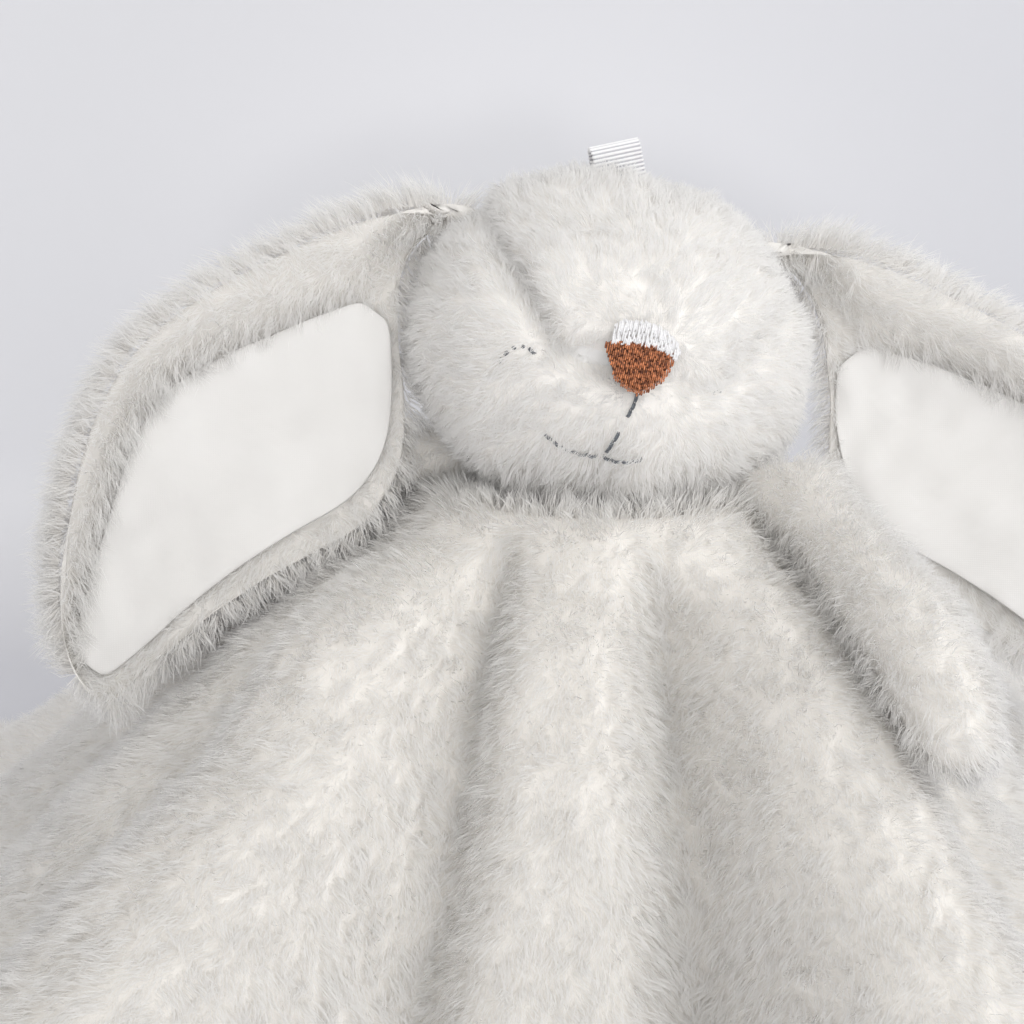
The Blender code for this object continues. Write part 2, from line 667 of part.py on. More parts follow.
def make_ear(name, plush, satin, root_offset, aim, mirror):
    root = head_middle + Vector(root_offset)
    down = Vector(aim).normalized()
    across_way = Vector((EAR_ACROSS[0] * mirror, EAR_ACROSS[1], EAR_ACROSS[2]))
    across_way = (across_way - down * across_way.dot(down)).normalized()
    front = down.cross(across_way)
    front = front if front.y < 0 else -front

    # the ear's middle sheet; rim is -1 at the upper edge and 1 at the lower one
    def sheet(along, rim, deep):
        upper = -edge_at(EAR_UPPER_SHARES, along) * EAR_LENGTH
        lower = edge_at(EAR_LOWER_SHARES, along) * EAR_LENGTH
        middle, half = (upper + lower) / 2, (lower - upper) / 2
        cup = EAR_CUP * max(-rim, 0) ** 2 + EAR_CUP / 3 * max(rim, 0) ** 2
        line = root + down * (EAR_LENGTH * along) + front * (cup * half / (EAR_LENGTH / 4) + deep)
        start = line + across_way * upper
        wanted = (middle - upper) + half * rim
        seat = blend(EAR_ROOT_SEAT, EAR_SEAT, min(along / EAR_ROOT_SHARE, 1))
        limit = (meet_head(start, across_way, seat) - start).length
        reach = (lower - upper)
        if limit < reach:
            wanted = wanted * limit / reach
        return start + across_way * wanted

    # the columns of both layers: the rim, the roll, the satin's two edges and between
    def rims(along):
        upper = -edge_at(EAR_UPPER_SHARES, along)
        lower = edge_at(EAR_LOWER_SHARES, along)
        half = (lower - upper) / 2
        top = (-edge_at(SATIN_UPPER_SHARES, along) - upper) / half - 1
        top = min(max(top, -0.6), 0.4)
        low = 1 - SATIN_INSET_SHARE
        roll = top - min(SATIN_EDGE / (half * EAR_LENGTH), (1 + top) / 3)
        shares = (-1, blend(-1, roll, 0.3), blend(-1, roll, 0.75), roll)
        return shares + (top, blend(top, low, 0.33), blend(top, low, 0.67), low, 1)

    def back(across, along, side):
        along = EAR_ROW_SHARES[round(along * last_row)]
        column = round(across * EAR_COLUMNS)
        rim = rims(along)[column]
        if side:
            return sheet(along, rim, -EAR_THICK * (1 - 0.6 * rim**4))
        return sheet(along, rim, EAR_ROLL if column in (1, 2) else 0)

    def lining(across, along, side):
        along = EAR_ROW_SHARES[SATIN_ROWS[0] + round(along * satin_rows)]
        rim = rims(along)[SATIN_COLUMN + round(across * satin_columns)]
        return sheet(along, rim, LAYER_GAP + (0 if side else EAR_LINING_THICK))

    last_row = len(EAR_ROW_SHARES) - 1
    satin_rows = SATIN_ROWS[1] - SATIN_ROWS[0]
    satin_columns = EAR_COLUMNS - SATIN_COLUMN - 1
    layer(name + "_back", plush, root, EAR_COLUMNS, last_row, back)
    layer(name + "_lining", satin, root, satin_columns, satin_rows, lining)


# Arms


# The point on the way from outside to a wanted place that first comes within gap of the drape
def rest_off(wanted, outward, gap):
    far = wanted + outward * ARM_LENGTH
    low, high = 0, 1
    for _ in range(SEARCH_STEPS):
        share = (low + high) / 2
        point = far.lerp(wanted, share)
        if min(drape_surface.find_nearest(point)[3], off_head(point)) > gap:
            low = share
        else:
            high = share
    return far.lerp(wanted, low)


def make_arm(name, plush, fill, turn, aim):
    ahead = Vector(aim).normalized()
    lift = ARM_ROOT_RADIUS * math.hypot(ahead.x, ahead.y) + ARM_SEAT
    shoulder = spin_out(turn, ARM_ROOT_REACH, BLANKET_TOP + lift)
    paw = shoulder + ahead * ARM_LENGTH
    bow = (shoulder + paw) / 2 + Vector((0, 0, ARM_LENGTH * ARM_SAG_SHARE))

    def wide_at(along):
        return blend(ARM_ROOT_RADIUS, ARM_PAW_RADIUS, eased(along / PAW_SHARE))

    def radius_at(along):
        over = max(along - PAW_SHARE, 0) / (1 - PAW_SHARE)
        return wide_at(along) * math.sqrt(max(1 - over**2, 0))

    guides = []
    for index in range(ARM_GUIDES + 1):
        along = index / ARM_GUIDES
        wanted = blend(blend(shoulder, bow, along), blend(bow, paw, along), along)
        outward = Vector((wanted.x, wanted.y, 0)).normalized() + Vector((0, 0, ARM_RISE_SHARE))
        guides.append(rest_off(wanted, outward, wide_at(along) + ARM_SEAT))

    def middle(along):
        return curve_through(guides, along)

    def ring_point(along, around, radius):
        ahead = (middle(min(along + 0.01, 1)) - middle(max(along - 0.01, 0))).normalized()
        level = ahead.cross(Vector((0, 0, 1))).normalized()
        high = level.cross(ahead)
        return middle(along) + level * (radius * math.cos(around)) + high * (radius * math.sin(around))

    length = (paw - shoulder).length

    def cover(across, along, side):
        share = 1 - step_through(ARM_ROW_SHARES, across)
        radius = radius_at(share)
        if side:
            share *= 1 - ARM_WALL / length
            radius *= 1 - ARM_WALL / ARM_PAW_RADIUS
        return ring_point(share, math.radians(360) * along, radius)

    def filling(direction):
        room = (ARM_WALL + STUFFING_GAP) / length
        share = blend(STUFFING_GAP / length, 1 - room, (1 - direction.z) / 2)
        outer = radius_at(share / (1 - ARM_WALL / length) if share < 1 - room else 1)
        radius = outer * (1 - (ARM_WALL + STUFFING_GAP) / ARM_PAW_RADIUS)
        narrowed = min(1, math.sqrt(max(1 - direction.z**2, 0)) * 1.3)
        around = math.atan2(direction.y, direction.x)
        return ring_point(share, around, max(radius, 0) * narrowed * FILL_SHARE)

    columns = len(ARM_ROW_SHARES) - 1
    layer(name + "_cover", plush, shoulder, columns, ARM_SIDES, cover, True, True)
    ball(name + "_stuffing", fill, shoulder, ARM_SIDES, 10, filling)


# Moves the whole toy so that the middle of its footprint is the origin
def centre_on_table():
    bpy.context.view_layer.update()
    corners = [
        item.matrix_world @ Vector(corner) for item in lovey.objects for corner in item.bound_box
    ]
    middle = [(min(c[i] for c in corners) + max(c[i] for c in corners)) / 2 for i in (0, 1)]
    for item in lovey.objects:
        item.location.x -= middle[0]
        item.location.y -= middle[1]
    print("moved by", -middle[0], -middle[1])


clear_scene()
lovey = bpy.data.collections.new("comfort_blanket_lovey")
bpy.context.scene.collection.children.link(lovey)

body_plush = material("body_plush", FUR_WHITE, 0.95)
head_plush = material("head_plush", HEAD_WHITE, 0.95)
ear_satin = material("ear_satin", SATIN_CREAM, 0.45)
blanket_lining_cloth = material("blanket_lining_cloth", LINING_WHITE, 0.8)
stuffing = material("stuffing", FILL_WHITE, 1.0)
nose_thread = material("nose_thread", NOSE_BROWN, 0.5)
dark_thread = material("dark_thread", THREAD_GREY, 0.7)
white_thread = material("white_thread", RIBBON_WHITE, 0.4)
ribbon = material("ribbon", RIBBON_WHITE, 0.5)

drape_surface = make_blanket(body_plush, blanket_lining_cloth)
make_head(head_plush, stuffing)
make_neck(white_thread)
make_nose(nose_thread, white_thread)
make_stitches(dark_thread)
make_loop(ribbon)
make_ear("ear_left", body_plush, ear_satin, EAR_LEFT_ROOT, EAR_LEFT_AIM, 1)
make_ear("ear_right", body_plush, ear_satin, EAR_RIGHT_ROOT, EAR_RIGHT_AIM, -1)
make_arm("arm_left", body_plush, stuffing, ARM_LEFT_TURN, ARM_LEFT_AIM)
make_arm("arm_right", body_plush, stuffing, ARM_RIGHT_TURN, ARM_RIGHT_AIM)
centre_on_table()
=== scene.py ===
import json
import math

import bmesh
import bpy
import numpy as np
from mathutils import Matrix, Vector, bvhtree, kdtree


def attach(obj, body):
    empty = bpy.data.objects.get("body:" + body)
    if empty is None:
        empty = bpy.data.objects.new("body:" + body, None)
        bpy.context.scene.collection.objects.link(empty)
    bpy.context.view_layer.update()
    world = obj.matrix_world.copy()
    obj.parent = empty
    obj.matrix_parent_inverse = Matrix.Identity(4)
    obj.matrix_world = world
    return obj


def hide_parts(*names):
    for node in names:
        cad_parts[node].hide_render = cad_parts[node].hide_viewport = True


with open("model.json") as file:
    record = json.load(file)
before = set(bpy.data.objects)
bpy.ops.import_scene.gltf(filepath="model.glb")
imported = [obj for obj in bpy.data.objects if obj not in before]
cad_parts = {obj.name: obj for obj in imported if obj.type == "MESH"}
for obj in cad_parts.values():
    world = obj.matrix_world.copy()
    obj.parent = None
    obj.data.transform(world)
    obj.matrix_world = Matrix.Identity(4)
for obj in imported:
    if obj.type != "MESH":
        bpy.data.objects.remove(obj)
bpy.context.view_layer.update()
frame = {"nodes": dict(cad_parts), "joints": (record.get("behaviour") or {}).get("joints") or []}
joints = {joint["name"]: joint for joint in frame["joints"]}
neckPoint = np.array(joints["head_turn"]["pos_m"])  # the neck's axis, at the top of the blanket
headPoint = np.array(joints["head_nod"]["pos_m"])  # the middle of the head
scene = bpy.context.scene
rng = np.random.default_rng(11)
tau = 2 * math.pi


# Camera, where the photograph was taken from
cameraValues = {"lens": 53.8, "fromNeck": (-0.021, -0.338, 0.0665), "tilt": 78}
cameraData = bpy.data.cameras.new("camera")
cameraData.lens = cameraValues["lens"]
cameraData.sensor_width = 36
cameraData.clip_start = 0.01
cameraObject = bpy.data.objects.new("camera", cameraData)
scene.collection.objects.link(cameraObject)
cameraObject.location = neckPoint + np.array(cameraValues["fromNeck"])
cameraObject.rotation_euler = (math.radians(cameraValues["tilt"]), 0, 0)
scene.camera = cameraObject


# Small helpers for arrays of points
def unit(vectors):
    return vectors / np.maximum(np.linalg.norm(vectors, axis=-1, keepdims=True), 1e-12)


def along(a, b):
    return np.sum(a * b, axis=-1, keepdims=True)


def mix(low, high, share):
    return low + (high - low) * share


def eased(share):
    share = np.clip(share, 0, 1)
    return share * share * (3 - 2 * share)


def softNoise(points, size, seed, waves=7):
    # smooth values from about -1 to 1 that change over the given size
    dice = np.random.default_rng(seed)
    total = np.zeros(len(points))
    for _ in range(waves):
        way = unit(dice.normal(size=3)) * tau / (size * dice.uniform(0.7, 1.5))
        total += np.sin(points @ way + dice.uniform(0, tau))
    return total / math.sqrt(waves)


def meshFrom(name, points, corners, sizes, uv=None):
    mesh = bpy.data.meshes.new(name)
    mesh.vertices.add(len(points))
    mesh.vertices.foreach_set("co", np.ascontiguousarray(points, np.float32).ravel())
    mesh.loops.add(len(corners))
    mesh.loops.foreach_set("vertex_index", np.ascontiguousarray(corners, np.int32))
    mesh.polygons.add(len(sizes))
    starts = np.concatenate(([0], np.cumsum(sizes)[:-1])).astype(np.int32)
    mesh.polygons.foreach_set("loop_start", starts)
    if uv is not None:
        layer = mesh.uv_layers.new(name="OFBake")
        layer.data.foreach_set("uv", np.ascontiguousarray(uv, np.float32).ravel())
    mesh.update(calc_edges=True)
    return mesh


def vertexValues(mesh, kind="co"):
    values = np.zeros(len(mesh.vertices) * 3)
    mesh.vertices.foreach_get(kind, values)
    return values.reshape(-1, 3)


def moveVertices(mesh, places):
    mesh.vertices.foreach_set("co", places.ravel())
    mesh.update()


def addPiece(name, mesh, look, body):
    piece = bpy.data.objects.new(name, mesh)
    scene.collection.objects.link(piece)
    mesh.materials.append(look)
    mesh.shade_smooth()
    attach(piece, body)
    return piece


def gridFaces(rows, columns, ring=False):
    # quads of a grid whose points are stored row by row
    across = columns if ring else columns - 1
    row, column = np.meshgrid(np.arange(rows - 1), np.arange(across), indexing="ij")
    nextColumn = (column + 1) % columns
    quads = np.stack(
        [
            row * columns + column,
            row * columns + nextColumn,
            (row + 1) * columns + nextColumn,
            (row + 1) * columns + column,
        ],
        axis=-1,
    )
    return quads.reshape(-1, 4)


def quadMesh(name, points, quads):
    return meshFrom(name, points, quads.ravel(), np.full(len(quads), 4))


# Materials
def newLook(name, colour, roughness, **plain):
    look = bpy.data.materials.new(name)
    look.use_nodes = True
    shader = look.node_tree.nodes["Principled BSDF"]
    shader.inputs["Base Color"].default_value = (*colour, 1)
    shader.inputs["Roughness"].default_value = roughness
    for socket, value in plain.items():
        shader.inputs[socket.replace("_", " ")].default_value = value
    return look


def newGroup(name, inputs, outputs):
    group = bpy.data.node_groups.new(name, "ShaderNodeTree")
    for socketName, kind, value in inputs:
        socket = group.interface.new_socket(socketName, in_out="INPUT", socket_type=kind)
        socket.default_value = value
    for socketName, kind in outputs:
        group.interface.new_socket(socketName, in_out="OUTPUT", socket_type=kind)
    start = group.nodes.new("NodeGroupInput")
    end = group.nodes.new("NodeGroupOutput")
    return group, start, end


def feed(tree, value, socket):
    if isinstance(value, bpy.types.NodeSocket):
        tree.links.new(value, socket)
    else:
        socket.default_value = value


def mixColour(tree, first, second, share):
    node = tree.nodes.new("ShaderNodeMix")
    node.data_type = "RGBA"
    for value, socket in ((share, 0), (first, 6), (second, 7)):
        feed(tree, value, node.inputs[socket])
    return node.outputs[2]


def combine(tree, operation, *values):
    node = tree.nodes.new("ShaderNodeMath")
    node.operation = operation
    for index, value in enumerate(values):
        feed(tree, value, node.inputs[index])
    return node.outputs[0]


def ramp(tree, value, start=0.0, end=1.0, low=0.0, high=1.0, smooth=False):
    node = tree.nodes.new("ShaderNodeMapRange")
    node.interpolation_type = "SMOOTHSTEP" if smooth else "LINEAR"
    limits = {"From Min": start, "From Max": end, "To Min": low, "To Max": high, "Value": value}
    for socket, limit in limits.items():
        feed(tree, limit, node.inputs[socket])
    return node.outputs["Result"]


def useGroup(look, group, values, links):
    node = look.node_tree.nodes.new("ShaderNodeGroup")
    node.node_tree = group
    for socket, value in values.items():
        node.inputs[socket].default_value = value
    shader = look.node_tree.nodes["Principled BSDF"]
    for source, target in links.items():
        look.node_tree.links.new(node.outputs[source], shader.inputs[target])
    return node


# Pile: each strand goes from a warmer, darker root, painted as the warm shade deep in the pile, to
# a pale tip, and each tuft has its own tone
pileGroup, pileIn, pileOut = newGroup(
    "pileShadeAndTone",
    [
        ("Root Shade Colour", "NodeSocketColor", (0.6, 0.57, 0.5, 1)),
        ("Tip Colour", "NodeSocketColor", (0.9, 0.89, 0.87, 1)),
        ("Tuft Colour", "NodeSocketColor", (0.8, 0.8, 0.82, 1)),
        ("Tuft Share", "NodeSocketFloat", 0.3),
    ],
    [("Colour", "NodeSocketColor"), ("Roughness", "NodeSocketFloat")],
)
strandPlace = pileGroup.nodes.new("ShaderNodeUVMap")
strandPlace.uv_map = "OFBake"
strandParts = pileGroup.nodes.new("ShaderNodeSeparateXYZ")
pileGroup.links.new(strandPlace.outputs[0], strandParts.inputs[0])
tuftTone = combine(
    pileGroup, "MULTIPLY", strandParts.outputs["X"], pileIn.outputs["Tuft Share"]
)
tipTone = mixColour(
    pileGroup, pileIn.outputs["Tip Colour"], pileIn.outputs["Tuft Colour"], tuftTone
)
rootToTip = ramp(pileGroup, strandParts.outputs["Y"], end=0.7, smooth=True)
wholeTone = mixColour(pileGroup, pileIn.outputs["Root Shade Colour"], tipTone, rootToTip)
roughTone = ramp(pileGroup, strandParts.outputs["Y"], low=0.95, high=0.75)
pileGroup.links.new(wholeTone, pileOut.inputs["Colour"])
pileGroup.links.new(roughTone, pileOut.inputs["Roughness"])

# Weave: two crossing sets of threads, as a height and a slight change of colour
weaveGroup, weaveIn, weaveOut = newGroup(
    "threadWeave",
    [
        ("Colour", "NodeSocketColor", (0.9, 0.9, 0.88, 1)),
        ("Gap Colour", "NodeSocketColor", (0.7, 0.7, 0.68, 1)),
        ("Scale", "NodeSocketFloat", 900.0),
        ("Bump", "NodeSocketFloat", 0.2),
    ],
    [("Colour", "NodeSocketColor"), ("Normal", "NodeSocketVector")],
)
weavePlace = weaveGroup.nodes.new("ShaderNodeTexCoord")
waves = []
for direction in ("X", "Z"):
    wave = weaveGroup.nodes.new("ShaderNodeTexWave")
    wave.wave_type = "BANDS"
    wave.bands_direction = direction
    wave.inputs["Distortion"].default_value = 0.6
    wave.inputs["Detail"].default_value = 1
    weaveGroup.links.new(weavePlace.outputs["Object"], wave.inputs["Vector"])
    weaveGroup.links.new(weaveIn.outputs["Scale"], wave.inputs["Scale"])
    waves.append(wave)
crossing = combine(weaveGroup, "MULTIPLY", waves[0].outputs["Fac"], waves[1].outputs["Fac"])
slub = weaveGroup.nodes.new("ShaderNodeTexNoise")
slub.inputs["Scale"].default_value = 60
slub.inputs["Detail"].default_value = 3
weaveGroup.links.new(weavePlace.outputs["Object"], slub.inputs["Vector"])
weaveShare = combine(weaveGroup, "MULTIPLY_ADD", crossing, 0.35, slub.outputs["Fac"])
weaveColour = mixColour(
    weaveGroup, weaveIn.outputs["Gap Colour"], weaveIn.outputs["Colour"], weaveShare
)
weaveBump = weaveGroup.nodes.new("ShaderNodeBump")
weaveBump.inputs["Distance"].default_value = 0.0001
weaveGroup.links.new(weaveIn.outputs["Bump"], weaveBump.inputs["Strength"])
weaveGroup.links.new(crossing, weaveBump.inputs["Height"])
weaveGroup.links.new(weaveColour, weaveOut.inputs["Colour"])
weaveGroup.links.new(weaveBump.outputs["Normal"], weaveOut.inputs["Normal"])


def wovenLook(name, colour, roughness, weave, **plain):
    look = newLook(name, colour, roughness, **plain)
    useGroup(look, weaveGroup, weave, {"Colour": "Base Color", "Normal": "Normal"})
    return look


# the root tones are darker and warmer than the tips: painted warm shade deep in the pile
pileColours = {
    "bodyPile": {
        "root": (0.945, 0.922, 0.888),
        "tip": (0.967, 0.963, 0.957),
        "tuft": (0.93, 0.93, 0.925),
    },
    "headPile": {
        "root": (0.94, 0.92, 0.893),
        "tip": (0.963, 0.961, 0.958),
        "tuft": (0.875, 0.875, 0.875),
    },
}
pileLooks = {}
skinLooks = {}
for pileName, tones in pileColours.items():
    look = newLook(pileName, tones["tip"], 0.85, Sheen_Weight=0.8, Sheen_Roughness=0.5)
    useGroup(
        look,
        pileGroup,
        {
            "Root Shade Colour": (*tones["root"], 1),
            "Tip Colour": (*tones["tip"], 1),
            "Tuft Colour": (*tones["tuft"], 1),
            "Tuft Share": 0.6,
        },
        {"Colour": "Base Color", "Roughness": "Roughness"},
    )
    # fine fibres let light through, so a strand is lit from behind as well
    tree = look.node_tree
    through = tree.nodes.new("ShaderNodeBsdfTranslucent")
    through.inputs["Color"].default_value = (*tones["tip"], 1)
    both = tree.nodes.new("ShaderNodeMixShader")
    both.inputs["Fac"].default_value = 0.5
    tree.links.new(tree.nodes["Principled BSDF"].outputs[0], both.inputs[1])
    tree.links.new(through.outputs[0], both.inputs[2])
    tree.links.new(both.outputs[0], tree.nodes["Material Output"].inputs["Surface"])
    pileLooks[pileName] = look
    # the knit under the pile takes the roots' colour, so the gaps between strands show the same
    # painted warm shade
    gapTone = tuple(0.96 * tone for tone in tones["root"])
    skinLooks[pileName] = wovenLook(
        pileName.replace("Pile", "Knit"),
        tones["root"],
        0.95,
        {"Colour": (*tones["root"], 1), "Gap Colour": (*gapTone, 1), "Scale": 700, "Bump": 0.4},
    )
# the ears' knit is painted darker and warmer than their pile, as the shade in the gaps between
# strands
earShadeSkinLook = newLook("earShadeKnit", (0.86, 0.842, 0.815), 0.95)

satinWeave = {
    "Colour": (0.82, 0.812, 0.80, 1),
    "Gap Colour": (0.71, 0.70, 0.685, 1),
    "Scale": 700,
    "Bump": 0.15,
}
satinLook = wovenLook("earSatin", (0.82, 0.812, 0.80), 0.45, satinWeave, Sheen_Weight=0.1)
liningWeave = {
    "Colour": (0.88, 0.87, 0.84, 1),
    "Gap Colour": (0.76, 0.75, 0.71, 1),
    "Scale": 500,
    "Bump": 0.5,
}
liningLook = wovenLook("liningCloth", (0.86, 0.85, 0.82), 0.8, liningWeave)


def threadLook(name, light, dark, roughness, twist):
    # a thread's plies show as fine bands that change from light to dark
    look = newLook(name, light, roughness, Specular_IOR_Level=0.5)
    tree = look.node_tree
    place = tree.nodes.new("ShaderNodeTexCoord")
    plies = tree.nodes.new("ShaderNodeTexNoise")
    plies.inputs["Scale"].default_value = twist
    plies.inputs["Detail"].default_value = 2
    tree.links.new(place.outputs["Object"], plies.inputs["Vector"])
    stretch = ramp(tree, plies.outputs["Fac"], 0.35, 0.65)
    colour = mixColour(tree, (*dark, 1), (*light, 1), stretch)
    bump = tree.nodes.new("ShaderNodeBump")
    bump.inputs["Distance"].default_value = 0.00006
    bump.inputs["Strength"].default_value = 0.6
    tree.links.new(plies.outputs["Fac"], bump.inputs["Height"])
    shader = tree.nodes["Principled BSDF"]
    tree.links.new(colour, shader.inputs["Base Color"])
    tree.links.new(bump.outputs["Normal"], shader.inputs["Normal"])
    return look


noseLook = threadLook("noseThread", (0.72, 0.27, 0.115), (0.10, 0.024, 0.009), 0.36, 1500)
# a near-black tone for the pad under the nose: painted shade between the stitch columns
noseShadePadLook = threadLook("noseGapShade", (0.07, 0.018, 0.008), (0.04, 0.01, 0.005), 0.8, 1200)
whiteThreadLook = threadLook("whiteThread", (0.93, 0.93, 0.94), (0.80, 0.80, 0.82), 0.5, 2400)
darkThreadLook = threadLook("darkThread", (0.20, 0.22, 0.245), (0.08, 0.09, 0.10), 0.6, 2400)
# the ribbon's rib valleys are painted grey as shade, and its crests pale
ribbonLook = newLook("loopRibbon", (0.93, 0.93, 0.94), 0.4)
useGroup(
    ribbonLook,
    pileGroup,
    {
        "Root Shade Colour": (0.50, 0.50, 0.54, 1),
        "Tip Colour": (0.95, 0.95, 0.96, 1),
        "Tuft Colour": (0.88, 0.88, 0.90, 1),
        "Tuft Share": 0.3,
    },
    {"Colour": "Base Color"},
)
fillLook = threadLook("stuffingFibre", (0.93, 0.93, 0.93), (0.80, 0.80, 0.80), 1.0, 180)
print("materials made")


# Pile: thin flat strands, combed, leaning and gathered into tufts
def rootsOn(mesh, perSquareMm, keep=None):
    mesh.calc_loop_triangles()
    points, normals = vertexValues(mesh), vertexValues(mesh, "normal")
    triangles = np.zeros(len(mesh.loop_triangles) * 3, np.int64)
    mesh.loop_triangles.foreach_get("vertices", triangles)
    triangles = triangles.reshape(-1, 3)
    if keep is not None:
        triangles = triangles[keep(points[triangles].mean(1), unit(normals[triangles].mean(1)))]
    edges = points[triangles[:, 1:]] - points[triangles[:, :1]]
    areas = np.linalg.norm(np.cross(edges[:, 0], edges[:, 1]), axis=1) / 2
    share = 1
    count = int(areas.sum() * 1e6 * perSquareMm * share)
    chosen = rng.choice(len(triangles), count, p=areas / areas.sum())
    a, b = rng.random((2, count, 1))
    fold = a + b > 1
    a, b = np.where(fold, 1 - a, a), np.where(fold, 1 - b, b)
    corners = triangles[chosen]
    weights = np.concatenate([1 - a - b, a, b], axis=1)[..., None]
    return (points[corners] * weights).sum(1), unit((normals[corners] * weights).sum(1))


strandValues = {
    "tuftLength": 0.12,  # how much the length changes from tuft to tuft, as a share of it
    "ownLength": 0.16,
    "lengthLimits": (0.45, 1.5),
    "mostLean": 62,
    "mostBent": 76,
    "middlePull": 0.4,
    "raise": 0.9,  # how far pile that faces down is shaded as facing further up
    "raiseBelow": 0.35,
    "tuftTone": 0.65,
}


def growPile(
    name, roots, normals, comb, values, look, body, lengthShare=1.0, upright=0.0, loose=0.0
):
    # upright is a share for each root, from 0 for combed to 1 for standing up, and loose another,
    # from 0 for strands that lie flat in the surface to 1 for strands that face every way
    strand = strandValues
    count = len(roots)
    tufts = rng.permutation(count)[: max(count // values["perTuft"], 1)]
    tree = kdtree.KDTree(len(tufts))
    for index, tuft in enumerate(tufts):
        tree.insert(roots[tuft], index)
    tree.balance()
    nearest = np.array([tree.find(root)[1] for root in roots])
    tuftDice = rng.normal(size=(len(tufts), 3))[nearest].clip(-2, 2)
    comb = unit(comb - along(comb, normals) * normals)
    side = np.cross(normals, comb)
    turn = values["wander"] * softNoise(roots, values["swirl"], 3)
    turn = turn + values["tuftTurn"] * tuftDice[:, 0] * (1 + upright)
    turn = turn + values["jitter"] * rng.normal(size=count)
    turn = np.radians(turn)[:, None]
    comb = comb * np.cos(turn) + side * np.sin(turn)
    side = np.cross(normals, comb)
    lean = values["lean"] + values["tuftLean"] * tuftDice[:, 1]
    lean = lean + values["leanJitter"] * rng.normal(size=count)
    lean = lean + values["leanDrift"] * softNoise(roots, values["swirl"] * 0.6, 5)
    lean = np.radians(np.clip(lean * (1 - 0.7 * upright), 2, strand["mostLean"]))[:, None]
    bent = np.minimum(lean + math.radians(values["bend"]), math.radians(strand["mostBent"]))
    uneven = 1 + strand["tuftLength"] * tuftDice[:, 2]
    uneven = uneven + strand["ownLength"] * rng.normal(size=count)
    length = values["length"] * uneven.clip(*strand["lengthLimits"])
    length = (length * lengthShare)[:, None]
    sway = side * values["curl"] * length * rng.normal(size=(count, 1)).clip(-2, 2)
    middles = roots + (normals * np.cos(lean) + comb * np.sin(lean)) * length * 0.5 + sway
    tips = middles + (normals * np.cos(bent) + comb * np.sin(bent)) * length * 0.5 - sway * 0.6
    pull = values["pull"] * rng.uniform(0.4, 1, (count, 1))
    tips += (tips[tufts[nearest]] - tips) * pull
    middles += (middles[tufts[nearest]] - middles) * pull * strand["middlePull"]
    way = unit(tips - roots)
    across = unit(np.cross(way, normals))
    over = np.cross(across, way)
    loose = np.broadcast_to(np.maximum(loose, values["loose"]), count)[:, None]
    twist = math.radians(values["twist"]) * rng.normal(size=(count, 1))
    twist = np.clip(twist + loose * rng.uniform(-1, 1, (count, 1)) * math.pi / 2, -1.55, 1.55)
    half = (across * np.cos(twist) + over * np.sin(twist)) * values["width"] / 2
    ownFacing = unit(np.cross(half, way))
    half = half * rng.uniform(0.7, 1.3, (count, 1))
    lower, upper = unit(middles - roots), unit(tips - middles)
    # light goes on through pile, so where the cloth faces down it's shaded as facing further up
    facingDown = np.clip(strand["raiseBelow"] - normals[:, 2:], 0, 1)
    normals = unit(normals + np.array([0, 0, strand["raise"]]) * facingDown)
    lowOut = unit(normals + values["streak"] * unit(np.cross(np.cross(lower, normals), lower)))
    highOut = unit(normals + values["streak"] * unit(np.cross(np.cross(upper, normals), upper)))
    points = np.stack(
        [roots - half * 0.8, roots + half * 0.8, middles - half, middles + half, tips], axis=1
    )
    points[..., 2] = np.maximum(points[..., 2], 0.0003)
    base = np.arange(count)[:, None] * 5
    corners = (base + np.array([[0, 1, 3, 2, 2, 3, 4]])).ravel()
    sizes = np.tile([4, 3], count)
    tuftTones = rng.random(len(tufts))[nearest]
    ownShare = 1 - strand["tuftTone"]
    tone = strand["tuftTone"] * tuftTones + ownShare * rng.random(count)
    beside = np.array([[-0.01, 0.01, 0.01, -0.01, -0.01, 0.01, 0]])
    across = np.clip(tone, 0.02, 0.98)[:, None] + beside
    up = np.broadcast_to(np.array([[0.02, 0.02, 0.5, 0.5, 0.5, 0.5, 0.98]]), across.shape)
    mesh = meshFrom(name, points.reshape(-1, 3), corners, sizes, np.stack([across, up], axis=-1))
    piece = addPiece(name, mesh, look, body)
    # the pile is shaded as one soft surface, with a little of each strand's own direction
    lowOut = unit(mix(lowOut, ownFacing, loose * 0.9))
    highOut = unit(mix(highOut, ownFacing, loose * 0.9))
    between = unit(lowOut + highOut)
    shading = np.stack([lowOut, lowOut, between, between, highOut], axis=1)
    mesh.normals_split_custom_set_from_vertices(shading.reshape(-1, 3).astype(np.float32))
    return piece


# A finer, rounder copy of CAD cloth, drawn in by the depth of its pile
def refined(name, nodes, levels, inset, look, body):
    shape = bmesh.new()
    for node in nodes:
        shape.from_mesh(frame["nodes"][node].data)
    bmesh.ops.remove_doubles(shape, verts=shape.verts[:], dist=0.00001)
    bmesh.ops.join_triangles(
        shape, faces=shape.faces[:], angle_face_threshold=1.2, angle_shape_threshold=3.1
    )
    mesh = bpy.data.meshes.new(name + "Cage")
    shape.to_mesh(mesh)
    shape.free()
    cage = bpy.data.objects.new(name + "Cage", mesh)
    scene.collection.objects.link(cage)
    finer = cage.modifiers.new("finer", "SUBSURF")
    finer.levels = finer.render_levels = levels
    result = bpy.data.meshes.new_from_object(
        cage.evaluated_get(bpy.context.evaluated_depsgraph_get())
    )
    bpy.data.objects.remove(cage)
    result.name = name
    result.materials.clear()
    moveVertices(result, vertexValues(result) - vertexValues(result, "normal") * inset)
    piece = addPiece(name, result, look, body)
    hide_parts(*nodes)
    return piece


